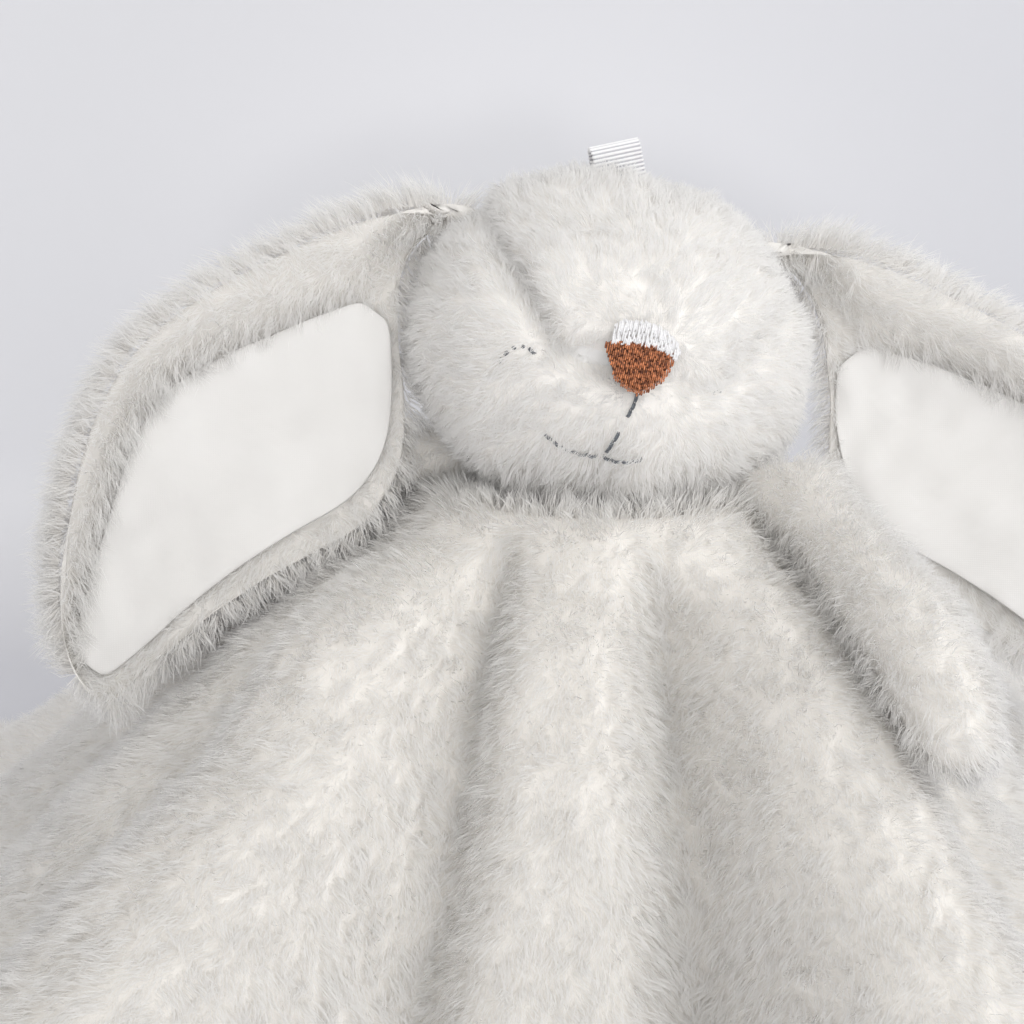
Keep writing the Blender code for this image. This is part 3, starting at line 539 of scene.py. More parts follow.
# Blanket: a square of plush that hangs in folds from the neck
blanketValues = {
    "sides": (0.170, 0.170, 0.170, 0.200),
    "top": 0.107,
    "thick": 0.006,
    "gather": 0.034,
    "foldReach": 0.0098,
    "foldStart": 0.030,
    "foldGrowth": 0.75,  # how much deeper a fold is at the table than at the neck
    "foldEdge": 4.0,  # above 2 the ridges are broad and the valleys narrow
    "corners": (-130, -66, 33, 147, 230),
    "folds": (2, 4, 4, 3),
    "foldDepths": (0.78, 1.0, 1.0, 0.3, 0.35, 0.35, 0.95, 1.0, 0.85, 1.0, 0.6, 0.5, 0.4),
    "neckTurns": (-14, -3, 10, 12, 10, 5, 0, 0, 0, 0, 0, 0, -2),
    "neckTurnReach": 0.085,
    "cornerPower": 14,
    "runShare": 0.985,
    "shoulder": 1.35,
    "edgeFoot": 1.04,
    "cornerFoot": 1.36,
    "hemFlat": 0.008,
    "seat": 0.0066,
    "pileDepth": 0.0034,
    "collar": (0.0050, 0.0385, 0.009),  # height, place and width of the gathered cloth's swell
}


def foldPlaces(columns):
    values = blanketValues
    starts = np.cumsum((0,) + values["folds"])
    place = np.arange(columns) / columns * starts[-1]
    side = np.searchsorted(starts, place, side="right") - 1
    share = (place - starts[side]) / np.array(values["folds"])[side]
    corners = np.array(values["corners"], float)
    turn = np.radians(mix(corners[side], corners[side + 1], share))
    sides = np.array(values["sides"])
    here, last, following = sides[side], sides[side - 1], sides[(side + 1) % 4]
    angle = mix(-np.arctan2(last, here), np.arctan2(following, here), share)
    beside = np.where(angle < 0, last, following)
    power = values["cornerPower"]
    square = (np.cos(angle) / here) ** power + (np.abs(np.sin(angle)) / beside) ** power
    reach = square ** (-1 / power) - values["gather"]
    return place, share, turn, reach


def drape(rows, columns, deep):
    # points of the cloth, row by row from neck to hem, deep is how far they're off its underside
    values = blanketValues
    place, share, turn, reach = foldPlaces(columns)
    height = values["top"] - values["thick"]
    hanging = reach - values["hemFlat"]
    run = np.sqrt(hanging**2 - height**2) * values["runShare"]
    foot = mix(values["edgeFoot"], values["cornerFoot"], np.abs(2 * share - 1) ** 3)
    depths = np.array(values["foldDepths"])
    lower = np.floor(place).astype(int) % len(depths)
    across = place - np.floor(place)
    ridge = mix(depths[lower], depths[(lower + 1) % len(depths)], eased(across))
    wave = 1 - 2 * np.abs(np.sin(math.pi * place)) ** values["foldEdge"]
    turns = np.radians(np.array(values["neckTurns"], float))
    atNeck = mix(turns[lower], turns[(lower + 1) % len(turns)], eased(across))
    straight = turn
    result = []
    for row in rows:
        turn = straight + atNeck * (1 - eased(np.maximum(row, 0) * reach / values["neckTurnReach"]))
        if row < 0:
            radius = values["gather"] * (1 + row)
            dish = values["seat"] * (1 - (radius / values["gather"]) ** 2)
            level = np.full(columns, height + deep - dish)
            result.append(np.stack([radius * np.cos(turn), radius * np.sin(turn), level], axis=-1))
            continue
        cloth = row * reach
        part = np.minimum(cloth / hanging, 1)
        left = np.maximum(1 - part ** values["shoulder"], 0)
        steep = foot * values["shoulder"] * part ** (values["shoulder"] - 1)
        slope = np.arctan(height / run * steep * np.maximum(left, 1e-9) ** (foot - 1))
        slope = slope * eased((hanging - cloth) / 0.006 + 0.5)
        radius = values["gather"] + run * part + np.maximum(cloth - hanging, 0)
        grown = values["foldReach"] * (1 + values["foldGrowth"] * part)
        radius = radius + grown * ridge * eased(cloth / values["foldStart"]) * wave
        radius = radius + deep * np.sin(slope)
        level = height * left**foot * (cloth < hanging) + deep * np.cos(slope)
        result.append(np.stack([radius * np.cos(turn), radius * np.sin(turn), level], axis=-1))
    points = np.stack(result)
    swell, place, wide = values["collar"]
    radius = np.hypot(points[..., 0], points[..., 1])
    points[..., 2] += swell * np.exp(-(((radius - place) / wide) ** 2))
    points[..., :2] += neckPoint[:2]
    return points


clothRows = np.concatenate([np.linspace(-0.999, -0.05, 9), np.linspace(0, 1, 64)])
clothColumns = 286
outside = drape(clothRows, clothColumns, blanketValues["thick"] - blanketValues["pileDepth"])
rumple = outside.reshape(-1, 3)
drift = softNoise(rumple, 0.045, 21) * 0.0011 + softNoise(rumple, 0.018, 22) * 0.0004
drift = drift.reshape(outside.shape[:2])
drift = drift * eased((clothRows[:, None] - 0.03) / 0.15) * eased((1 - clothRows[:, None]) / 0.06)
outward = unit(outside - np.array([neckPoint[0], neckPoint[1], 0]))
outside = outside + outward * drift[..., None]
inside = drape(clothRows, clothColumns, 0) + outward * drift[..., None]
rowCount = len(clothRows)
sheetPoints = np.concatenate([outside.reshape(-1, 3), inside[::-1].reshape(-1, 3)])
sheetQuads = gridFaces(rowCount * 2, clothColumns, ring=True)
blanketMesh = quadMesh("blanketPlush", sheetPoints, sheetQuads[:, ::-1])
blanketPiece = addPiece("blanketPlush", blanketMesh, skinLooks["bodyPile"], "blanket")
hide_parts("blanket_plush")


def outsideOfBlanket(points, normals):
    # the upper side and the rounded hem, without the part under the head
    radius = np.hypot(points[:, 0] - neckPoint[0], points[:, 1] - neckPoint[1])
    facing = (normals[:, 2] > 0.05) | (points[:, 2] < 0.004)
    return facing & (radius > 0.021) & (normals[:, 2] > -0.5)


blanketRoots, blanketNormals = rootsOn(blanketMesh, 3.6, outsideOfBlanket)
backness = eased((blanketRoots[:, 1] - neckPoint[1] - 0.02) / 0.05)
stays = rng.random(len(blanketRoots)) < mix(1.0, 0.45, backness)
blanketRoots, blanketNormals = blanketRoots[stays], blanketNormals[stays]
downhill = blanketRoots - np.array([neckPoint[0], neckPoint[1], 0.16])
blanketPileValues = {
    "length": 0.0047,
    "width": 0.00017,
    "lean": 38,
    "leanJitter": 9,
    "bend": 18,
    "wander": 17,
    "swirl": 0.026,
    "jitter": 12,
    "perTuft": 18,
    "pull": 0.24,
    "streak": 0.35,
    "twist": 16,
    "loose": 0.5,
    "leanDrift": 2.5,
    "tuftTurn": 24,
    "tuftLean": 6,
    "curl": 0.07,
}
neckRadius = np.hypot(blanketRoots[:, 0] - neckPoint[0], blanketRoots[:, 1] - neckPoint[1])
nearNeck = 1 - eased((neckRadius - 0.036) / 0.010)
blanketPile = growPile(
    "blanketPile", blanketRoots, blanketNormals, downhill, blanketPileValues,
    pileLooks["bodyPile"], "blanket", mix(1.0, 1.3, nearNeck), 0.7 * nearNeck,
    0.9 * nearNeck,
)
print("blanket made", len(blanketRoots))


# Lining: a plain cloth under the plush
liningRows = np.concatenate([np.linspace(-0.999, -0.05, 6), np.linspace(0, 0.84, 40)])
liningOut = drape(liningRows, clothColumns, -0.0006)
liningIn = drape(liningRows, clothColumns, -0.0016)
liningPoints = np.concatenate([liningOut.reshape(-1, 3), liningIn[::-1].reshape(-1, 3)])
liningQuads = gridFaces(len(liningRows) * 2, clothColumns, ring=True)
liningMesh = quadMesh("blanketLining", liningPoints, liningQuads[:, ::-1])
liningPiece = addPiece("blanketLining", liningMesh, liningLook, "blanket")
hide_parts("blanket_lining")


# Head: a stuffed ball with a forehead panel, cheeks and a muzzle
headValues = {
    "width": 0.090,
    "depth": 0.079,
    "height": 0.0765,
    "lean": 13.5,
    "turn": 7,
    "bumps": (
        (0.0035, 30, (0.0, -0.93, -0.36), False),
        (0.0025, 32, (0.74, -0.50, -0.44), True),
        (0.0012, 30, (0.62, 0.0, 0.78), True),
    ),
    "gussetHalfWidths": (0.0190, 0.0320, 0.0400, 0.0435, 0.0435, 0.0410, 0.0350, 0.0220, 0.0060),
    "grooveLeft": 0.0052,
    "grooveRight": 0.0022,
    "grooveWidth": 0.0042,
    "chinGroove": 0.0010,
    "pileDepth": 0.0032,
}
headTurned = np.array(
    Matrix.Rotation(math.radians(headValues["lean"]), 3, "Y")
    @ Matrix.Rotation(math.radians(headValues["turn"]), 3, "Z")
)


def headRadius(ways):
    values = headValues
    half = np.array([values["width"], values["depth"], values["height"]]) / 2
    radius = 1 / np.sqrt(np.sum((ways / half) ** 2, axis=-1))
    mirrored = ways.copy()
    mirrored[..., 0] = np.abs(mirrored[..., 0])
    for rise, spread, middle, bothSides in values["bumps"]:
        toward = unit(np.array(middle))
        angle = np.degrees(np.arccos(np.clip((mirrored if bothSides else ways) @ toward, -1, 1)))
        radius = radius + rise * np.exp(-((angle / spread) ** 2))
    return radius


def seamDistance(ways, radius):
    # how far a place is from the nearest seam, and the depth of the groove that it has
    values = headValues
    latitude = np.arcsin(np.clip(ways[:, 0], -1, 1))
    turn = np.degrees(np.arctan2(ways[:, 2], -ways[:, 1])) % 360
    widths = np.interp(turn, np.linspace(0, 180, 9), values["gussetHalfWidths"])
    sideways = np.abs(latitude) * radius
    front = np.abs((turn + 180) % 360 - 180) / 180 * math.pi * radius
    back = np.abs(turn - 180) / 180 * math.pi * radius
    over = np.where(turn <= 180, np.abs(sideways - widths), 1)
    first, last = values["gussetHalfWidths"][0], values["gussetHalfWidths"][-1]
    over = np.minimum(over, np.hypot(front, np.maximum(sideways - first, 0)))
    over = np.minimum(over, np.hypot(back, np.maximum(sideways - last, 0)))
    chin = np.where(turn > 180, sideways, 1)
    groove = np.where(ways[:, 0] < 0, values["grooveLeft"], values["grooveRight"])
    fade = 1 - 0.55 * eased((turn - 60) / 60) * (turn < 200)
    wide = values["grooveWidth"]
    depth = groove * fade * np.exp(-((over / wide) ** 2))
    return depth + values["chinGroove"] * np.exp(-((chin / wide) ** 2)), turn, sideways < widths


headBall = bmesh.new()
bmesh.ops.create_icosphere(headBall, subdivisions=6, radius=1)
headWays = unit(np.array([vert.co for vert in headBall.verts]))
headFaces = np.array([[vert.index for vert in face.verts] for face in headBall.faces])
headBall.free()
headOuter = headRadius(headWays)
headGroove = seamDistance(headWays, headOuter)[0]
lumps = softNoise(headWays * 0.042, 0.022, 31) * 0.0007
headInner = headOuter - headValues["pileDepth"] - headGroove + lumps
headSkin = headPoint + (headWays * headInner[:, None]) @ headTurned.T
faceWays = unit(headWays[headFaces].mean(1))
faceTurns, faceIn = seamDistance(faceWays, headRadius(faceWays))[1:]
gussetFaces = faceIn & (faceTurns <= 180)
headPanels = {
    "headCrownGusset": (gussetFaces, "head_crown_gusset"),
    "headLeftPanel": (~gussetFaces & (faceWays[:, 0] < 0), "head_left_panel"),
    "headRightPanel": (~gussetFaces & (faceWays[:, 0] >= 0), "head_right_panel"),
}
for panelName, (mask, node) in headPanels.items():
    used, corners = np.unique(headFaces[mask], return_inverse=True)
    mesh = meshFrom(panelName, headSkin[used], corners.ravel(), np.full(mask.sum(), 3))
    panel = addPiece(panelName, mesh, skinLooks["headPile"], "head")
    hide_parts(node)


def facePlace(across, up, lift=0.0):
    # a point over the front of the head, across and up from its middle, lifted off the pile
    across, up = np.broadcast_arrays(np.asarray(across, float), np.asarray(up, float))
    deep = np.full(across.shape, -headValues["depth"] / 2)
    for _ in range(14):
        ways = unit(np.stack([across, deep, up], axis=-1))
        radius = headRadius(ways.reshape(-1, 3)).reshape(across.shape) + lift
        deep = -np.sqrt(np.maximum(radius**2 - across**2 - up**2, 1e-9))
    local = np.stack([across, deep, up], axis=-1)
    return headPoint + local @ headTurned.T


def headLocal(points):
    return (points - headPoint) @ headTurned


noseValues = {
    "width": 0.0141,
    "height": 0.0103,
    # across and up from the head's middle, in millimetres
    "outline": (
        (-8.9, 4.0), (-6.1, 5.3), (-1.1, 5.7), (3.0, 5.5), (5.0, 4.6), (5.2, 2.4), (3.8, -0.8),
        (1.3, -3.4), (-0.4, -4.6), (-3.1, -4.0), (-5.7, -2.5), (-7.5, 0.6), (-8.7, 2.9),
    ),
    "columns": 0.00041,
    "stitch": 0.0019,
    "thread": 0.00019,
    "base": -0.0002,
    "lift": 0.0012,
    "padShare": 0.86,
    "padDeep": 0.004,
}
noseOutline = np.array(noseValues["outline"]) / 1000


def insideOutline(points, outline, grow=0.0):
    # even-odd test of flat points against a closed outline, grown from its middle
    middle = outline.mean(0)
    spread = outline - middle
    outline = middle + spread * (1 + grow / np.linalg.norm(spread, axis=1, keepdims=True))
    inside = np.zeros(len(points), bool)
    for a, b in zip(outline, np.roll(outline, -1, axis=0)):
        crosses = (a[1] > points[:, 1]) != (b[1] > points[:, 1])
        slope = (b[0] - a[0]) / (b[1] - a[1] + 1e-12)
        inside ^= crosses & (points[:, 0] < a[0] + (points[:, 1] - a[1]) * slope)
    return inside


def spanAt(outline, across):
    # lowest and highest place of an outline at a place across it
    heights = []
    for a, b in zip(outline, np.roll(outline, -1, axis=0)):
        if (a[0] - across) * (b[0] - across) <= 0 and a[0] != b[0]:
            heights.append(a[1] + (b[1] - a[1]) * (across - a[0]) / (b[0] - a[0]))
    return (min(heights), max(heights)) if len(heights) > 1 else None


stitchValues = {"apart": 0.00018, "thread": 0.00021, "dip": 0.0006}
# how far below the top of the pile each dark stitch lies
stitchSinks = {
    "philtrumStitch": 0.0019,
    "mouthLeftStitch": 0.0031,
    "mouthRightStitch": 0.0025,
    "eyeLeftStitch": 0.0032,
    "eyeRightStitch": 0.0046,
}
stitchPaths = {
    # across and up from the head's middle, in millimetres, along each stitched line
    "philtrumStitch": (
        "philtrum_stitch",
        (
            (-0.2, -4.4), (-0.2, -6.3), (-0.5, -8.0), (-0.9, -9.6), (None, None),
            (-1.5, -13.0), (-2.0, -15.2), (-2.6, -18.0),
        ),
    ),
    "mouthLeftStitch": (
        "mouth_left_stitch",
        (
            (-3.6, -19.2), (-5.6, -19.6), (-7.9, -19.7), (-10.4, -19.3), (-12.9, -18.4),
            (-15.2, -17.0),
        ),
    ),
    "mouthRightStitch": (
        "mouth_right_stitch",
        ((-2.6, -18.9), (-0.8, -19.3), (1.3, -19.2), (3.4, -18.6), (5.3, -17.5)),
    ),
    "eyeLeftStitch": (
        "eye_left_stitch",
        ((-26.9, -6.1), (-26.3, -4.2), (-25.3, -2.5), (-23.9, -1.3), (-22.2, -1.1), (-20.7, -2.0)),
    ),
    "eyeRightStitch": (
        "eye_right_stitch",
        ((16.0, -2.6), (17.2, -1.3), (18.8, -0.7), (20.4, -0.9), (21.8, -2.0), (22.8, -3.6)),
    ),
}
stitchLines = []  # where the pile is thinned, so that the shallower stitches show
for stitchName, (_, path) in stitchPaths.items():
    for start, end in zip(path[:-1], path[1:]):
        if start[0] is not None and end[0] is not None and stitchSinks[stitchName] < 0.0025:
            stitchLines.append((np.array(start) / 1000, np.array(end) / 1000))


def nearStitches(flat):
    nearest = np.full(len(flat), 1.0)
    for start, end in stitchLines:
        way = end - start
        share = np.clip((flat - start) @ way / (way @ way), 0, 1)
        nearest = np.minimum(nearest, np.linalg.norm(flat - start - share[:, None] * way, axis=1))
    return nearest


def pileOnHead(points, normals):
    local = headLocal(points)
    front = local[:, 1] < -0.02
    bare = front & insideOutline(local[:, [0, 2]], noseOutline, 0.0004)
    return ~bare & (points[:, 2] > 0.0995)


headMesh = meshFrom("headAll", headSkin, headFaces.ravel(), np.full(len(headFaces), 3))
headRoots, headNormals = rootsOn(headMesh, 4.5, pileOnHead)
headFlat = headLocal(headRoots)
frontish = headFlat[:, 1] < -0.015
close = frontish & (nearStitches(headFlat[:, [0, 2]]) < 0.0006) & (rng.random(len(headRoots)) < 0.4)
headRoots, headNormals, headFlat = headRoots[~close], headNormals[~close], headFlat[~close]
nosePoint = facePlace(0.0, 0.004)
headComb = unit(headRoots - nosePoint) + np.array([0, 0.15, -0.25])
headPileValues = {
    "length": 0.0040,
    "width": 0.00014,
    "lean": 34,
    "leanJitter": 10,
    "bend": 18,
    "wander": 32,
    "swirl": 0.018,
    "jitter": 16,
    "perTuft": 18,
    "pull": 0.3,
    "streak": 0.35,
    "twist": 16,
    "loose": 0.6,
    "leanDrift": 5,
    "tuftTurn": 38,
    "tuftLean": 8,
    "curl": 0.07,
}
fromNose = np.linalg.norm((headFlat[:, [0, 2]] - noseOutline.mean(0)) / [1, 0.85], axis=1)
fromNose = np.where(headFlat[:, 1] < -0.015, fromNose, 1)
headShare = mix(0.5, 1.0, eased((fromNose - 0.0075) / 0.008))
nearChin = 1 - eased((headRoots[:, 2] - neckPoint[2] - 0.004) / 0.012)
headShare = headShare * mix(1.0, 1.35, nearChin)
growPile(
    "headPile", headRoots, headNormals, headComb, headPileValues,
    pileLooks["headPile"], "head", headShare, 0.5 * nearChin,
    0.9 * nearChin,
)
bpy.data.meshes.remove(headMesh)
print("head made", len(headRoots))


# Thread: short round stitches whose ends dip into the cloth
def stitchMesh(name, runs, radius, sides=6, dip=0.0003):
    # each run is a start, an end and the way out of the cloth
    rings = np.array([0.0, 0.12, 0.5, 0.88, 1.0])
    sink = np.array([-1.0, -0.15, 0.35, -0.15, -1.0]) * dip
    wide = np.array([0.45, 0.9, 1.0, 0.9, 0.45]) * radius
    starts, ends, outs = (np.array(part) for part in zip(*runs))
    way = unit(ends - starts)
    side = unit(np.cross(way, outs))
    out = np.cross(side, way)
    around = np.arange(sides) / sides * tau
    middle = mix(starts[:, None], ends[:, None], rings[None, :, None])
    middle = middle + out[:, None] * sink[None, :, None]
    spoke = side[:, None] * np.cos(around)[None, :, None]
    spoke = spoke + out[:, None] * np.sin(around)[None, :, None]
    points = middle[:, :, None] + spoke[:, None] * wide[None, :, None, None]
    quads = gridFaces(len(rings), sides, ring=True)
    per = len(rings) * sides
    base = np.arange(len(runs))[:, None] * per
    corners = (base + quads.ravel()[None]).reshape(len(runs), -1)
    caps = np.concatenate([np.arange(sides)[::-1], np.arange(sides) + per - sides])
    corners = np.concatenate([corners, base + caps[None]], axis=1).ravel()
    sizes = np.tile(np.concatenate([np.full(len(quads), 4), [sides, sides]]), len(runs))
    return meshFrom(name, points.reshape(-1, 3), corners, sizes)


def outOfFace(across, up):
    step = 0.0008
    right = facePlace(across + step, up) - facePlace(across - step, up)
    over = facePlace(across, up + step) - facePlace(across, up - step)
    out = unit(np.cross(right, over))
    return np.where(along(out, headTurned @ np.array([0, -1, 0])) < 0, -out, out)


def columnStitches(outline, values, lift):
    runs = []
    width = outline[:, 0].max() - outline[:, 0].min()
    columns = int(width / values["columns"])
    for column in range(columns + 1):
        across = outline[:, 0].min() + width * (column + 0.5) / (columns + 1)
        span = spanAt(outline, across)
        if span is None:
            continue
        low, high = span[0] + rng.uniform(-0.0003, 0.0002), span[1] + rng.uniform(-0.0002, 0.0003)
        cut = low - values["stitch"] * ((column * 0.382) % 1 * 0.8 + 0.1 + rng.uniform(-0.06, 0.06))
        while cut < high:
            start, end = max(cut, low), min(cut + values["stitch"], high)
            cut += values["stitch"] * rng.uniform(0.92, 1.08)
            if end - start < 0.0004:
                continue
            lean = rng.uniform(-0.00005, 0.00005)
            runs.append(((across, start), (across + lean, end)))
    starts = np.array([run[0] for run in runs])
    ends = np.array([run[1] for run in runs])
    middles = (starts + ends) / 2
    lifts = lift(middles)
    outs = outOfFace(middles[:, 0], middles[:, 1])
    return [
        (facePlace(s[0], s[1], l), facePlace(e[0], e[1], l), o)
        for s, e, l, o in zip(starts, ends, lifts, outs)
    ]


noseMiddle = noseOutline.mean(0)


def noseCrown(flat):
    off = (flat - noseMiddle) / [noseValues["width"] / 2, noseValues["height"] / 2]
    rise = np.sqrt(np.clip(1 - 0.8 * (off**2).sum(1), 0.02, 1))
    return noseValues["base"] + noseValues["lift"] * rise


noseRuns = columnStitches(noseOutline, noseValues, noseCrown)
noseMesh = stitchMesh("noseStitches", noseRuns, noseValues["thread"], dip=0.00016)
nosePiece = addPiece("noseStitches", noseMesh, noseLook, "head")
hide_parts("nose_embroidery")

# a dark pad under the nose's stitches, painted shade that shows in the gaps between the stitch
# columns
shares = np.linspace(0, 1, 8)
rim = np.concatenate([noseOutline, noseOutline[:1]])
rimSteps = np.linspace(0, len(noseOutline), 57)[:-1]
rim = np.stack([np.interp(rimSteps, np.arange(len(rim)), rim[:, i]) for i in (0, 1)], axis=-1)
padFlat = noseMiddle + (rim[None] - noseMiddle) * shares[:, None, None] * noseValues["padShare"]
padLift = noseCrown(padFlat.reshape(-1, 2)) - noseValues["thread"] * 0.9
padPoints = np.array([facePlace(p[0], p[1], l) for p, l in zip(padFlat.reshape(-1, 2), padLift)])
padSkirt = np.array([facePlace(p[0], p[1], -noseValues["padDeep"]) for p in padFlat[-1]])
padMesh = quadMesh("noseShadePad", np.concatenate([padPoints, padSkirt]), gridFaces(9, 56, ring=True))
addPiece("noseShadePad", padMesh, noseShadePadLook, "head")

# the white patch that shows above the nose
underlayValues = {
    "outline": (
        (-7.8, 4.2), (-7.9, 7.6), (-6.6, 9.1), (-2.1, 9.7), (0.9, 9.4), (4.3, 7.8), (6.0, 5.9),
        (5.6, 3.6), (2.7, 4.8), (-2.4, 5.0), (-6.3, 4.4),
    ),
    "columns": 0.00036,
    "stitch": 0.0034,
    "thread": 0.00021,
}
underlayOutline = np.array(underlayValues["outline"]) / 1000
underlayRuns = columnStitches(
    underlayOutline, underlayValues, lambda flat: 0.0004 + 0.0006 * rng.random(len(flat))
)
underlayMesh = stitchMesh("noseUnderlay", underlayRuns, underlayValues["thread"])
underlayPiece = addPiece("noseUnderlay", underlayMesh, whiteThreadLook, "head")
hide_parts("nose_underlay")

for stitchName, (node, path) in stitchPaths.items():
    sunk = stitchSinks[stitchName]
    runs = []
    for start, end in zip(path[:-1], path[1:]):
        if start[0] is None or end[0] is None:
            continue
        start, end = np.array(start) / 1000, np.array(end) / 1000
        middle = (start + end) / 2
        out = outOfFace(middle[0], middle[1])
        way = end - start
        for shift in (-stitchValues["apart"], stitchValues["apart"]):
            nudge = shift * np.array([-way[1], way[0]]) / np.linalg.norm(way)
            s, e = start + nudge, end + nudge
            runs.append((facePlace(s[0], s[1], -sunk), facePlace(e[0], e[1], -sunk), out))
    mesh = stitchMesh(stitchName, runs, stitchValues["thread"], dip=stitchValues["dip"])
    piece = addPiece(stitchName, mesh, darkThreadLook, "head")
    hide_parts(node)
print("face made")


# Ears and arms: rounder copies of the CAD cloth, with their own pile
def roundedOff(mesh, times):
    shape = bmesh.new()
    shape.from_mesh(mesh)
    for _ in range(times):
        bmesh.ops.smooth_vert(
            shape, verts=shape.verts[:], factor=0.5,
            use_axis_x=True, use_axis_y=True, use_axis_z=True,
        )
    shape.to_mesh(mesh)
    shape.free()
    mesh.update()


limbPileValues = {
    "length": 0.0050,
    "width": 0.00016,
    "lean": 38,
    "leanJitter": 13,
    "bend": 20,
    "wander": 22,
    "swirl": 0.022,
    "jitter": 13,
    "perTuft": 16,
    "pull": 0.3,
    "streak": 0.35,
    "twist": 16,
    "loose": 0.6,
    "leanDrift": 5,
    "tuftTurn": 30,
    "tuftLean": 8,
    "curl": 0.07,
}
earAims = {"left": (-0.600, -0.330, -0.730), "right": (0.630, -0.200, -0.750)}
for side, body in (("left", "left_ear"), ("right", "right_ear")):
    label = side.capitalize()
    back = refined(
        f"ear{label}Back", [f"ear_{side}_back"], 2, 0.0010, earShadeSkinLook, body
    )
    satinNode = f"ear_{side}_lining"
    satin = refined(f"ear{label}Satin", [satinNode], 2, 0.0, satinLook, body)
    points = vertexValues(satin.data)
    aim = unit(np.array(earAims[side]))
    level = unit(np.cross(aim, np.array([0, 1, 0])))
    facing = unit(np.cross(aim, level))
    facing = facing if facing[1] < 0 else -facing
    crease = points - np.outer(points @ aim, aim) * 0.55
    creases = 0.0011 * softNoise(crease, 0.020, 41)[:, None]
    ripples = 0.0005 * softNoise(points, 0.009, 42)[:, None]
    points = points + facing * (0.0008 + creases + ripples)
    moveVertices(satin.data, points)
    satinTree = bvhtree.BVHTree.FromPolygons(
        [Vector(point) for point in points], [face.vertices[:] for face in satin.data.polygons]
    )

    def satinDistance(places, satinTree=satinTree):
        return np.array([satinTree.find_nearest(Vector(place))[3] for place in places])

    def besideSatin(centres, normals, satinTree=satinTree, facing=facing):
        hits = []
        for centre in centres:
            start = Vector(centre - facing * 0.005)
            hits.append(satinTree.ray_cast(start, Vector(facing), 0.010)[0] is not None)
        return ~np.array(hits) | (normals @ facing < 0)

    # the margin above the satin is a thick roll, and the sewn end goes into the head's pile
    upward = level if level[2] > 0 else -level
    root = np.array(joints[f"ear_{side}_swing"]["pos_m"])
    places, turned = vertexValues(back.data), vertexValues(back.data, "normal")
    above = eased((places @ upward - np.median(points @ upward)) / 0.01)
    swell = eased((satinDistance(places) - 0.002) / 0.006) * eased((turned @ facing + 0.2) / 0.5)
    places += facing * (0.0034 * swell * mix(0.25, 1.0, above))[:, None]
    belly = eased((satinDistance(places) - 0.001) / 0.005) * (1 - above)
    belly = belly * eased(((places - root) @ aim - 0.02) / 0.03)
    places += (facing * 0.001 - upward * 0.0085) * belly[:, None]
    sewn = 1 - eased(((places - root) @ aim + 0.004) / 0.016)
    places += unit(headPoint - places) * (0.006 * sewn)[:, None]
    moveVertices(back.data, places)
    roundedOff(back.data, 12)

    def rimOnly(centres, normals, facing=facing):
        return np.abs(normals @ facing) < 0.55

    roots, normals = rootsOn(back.data, 3.8, besideSatin)
    rimRoots, rimNormals = rootsOn(back.data, 2.4, rimOnly)
    roots, normals = np.concatenate([roots, rimRoots]), np.concatenate([normals, rimNormals])
    # the cloth under the rims goes in a little, so that the pile closes over them
    places, turned = vertexValues(back.data), vertexValues(back.data, "normal")
    places -= turned * (0.0014 * eased((satinDistance(places) - 0.003) / 0.004))[:, None]
    moveVertices(back.data, places)
    reach = (roots - root) @ aim
    centreLine = root + reach[:, None] * aim
    outwardWay = unit((roots - centreLine) - along(roots - centreLine, facing) * facing)
    rimShare = np.abs(along(normals, facing))
    comb = aim * (0.55 + 0.5 * rimShare) + outwardWay * (1.0 - 0.6 * rimShare)
    frontShare = eased((along(normals, facing) + 0.1) / 0.5)
    fromSatin = satinDistance(roots)
    towardRim = eased((fromSatin[:, None] - 0.0025) / 0.005)
    frontComb = mix(aim * 0.5 + np.array([0, 0, -0.9]), aim * 0.7 + outwardWay, towardRim)
    comb = mix(comb, frontComb, frontShare)
    beside = (1 - eased((fromSatin - 0.0008) / 0.003)) * (normals @ facing > -0.2)
    overSatin = eased((roots @ upward - np.median(points @ upward)) / 0.01)
    nearRoot = 1 - eased((reach - 0.008) / 0.02)
    onRim = eased((0.9 - rimShare[:, 0]) / 0.5)
    lengths = mix(1.0, mix(0.8, 1.2, overSatin), beside) * mix(1.0, 1.35, onRim)
    upright = np.maximum(mix(0.7, 0.35, overSatin) * beside, 0.5 * nearRoot)
    growPile(
        f"ear{label}Pile", roots, normals, comb, limbPileValues, pileLooks["bodyPile"], body,
        lengths * mix(1.0, 1.2, nearRoot), upright, 0.95 * onRim,
    )

for side, body in (("left", "left_arm"), ("right", "right_arm")):
    label = side.capitalize()
    cover = refined(
        f"arm{label}Cover", [f"arm_{side}_cover"], 2, 0.0004, skinLooks["bodyPile"], body,
    )
    root = np.array(joints[f"arm_{side}_lift"]["pos_m"])
    points = vertexValues(cover.data)
    inner = np.linalg.norm(points[:, :2] - neckPoint[:2], axis=1)
    # the sewn end goes under the pile
    sunk = eased((inner.min() + 0.012 - inner) / 0.012)[:, None]
    points = points + (neckPoint + [0, 0, -0.002] - points) * sunk * 0.3
    if side == "left":
        points[:, 2] += 0.005 * eased((points[:, 2] - root[2] + 0.03) / 0.03)
    moveVertices(cover.data, points)
    roots, normals = rootsOn(cover.data, 3.8)
    far = roots[np.argmax(np.linalg.norm(roots - root, axis=1))]
    comb = np.broadcast_to(unit(far - root), roots.shape) + np.array([0, 0, -0.3])
    growPile(
        f"arm{label}Pile", roots, normals, comb, limbPileValues, pileLooks["bodyPile"], body,
    )
print("ears and arms made")


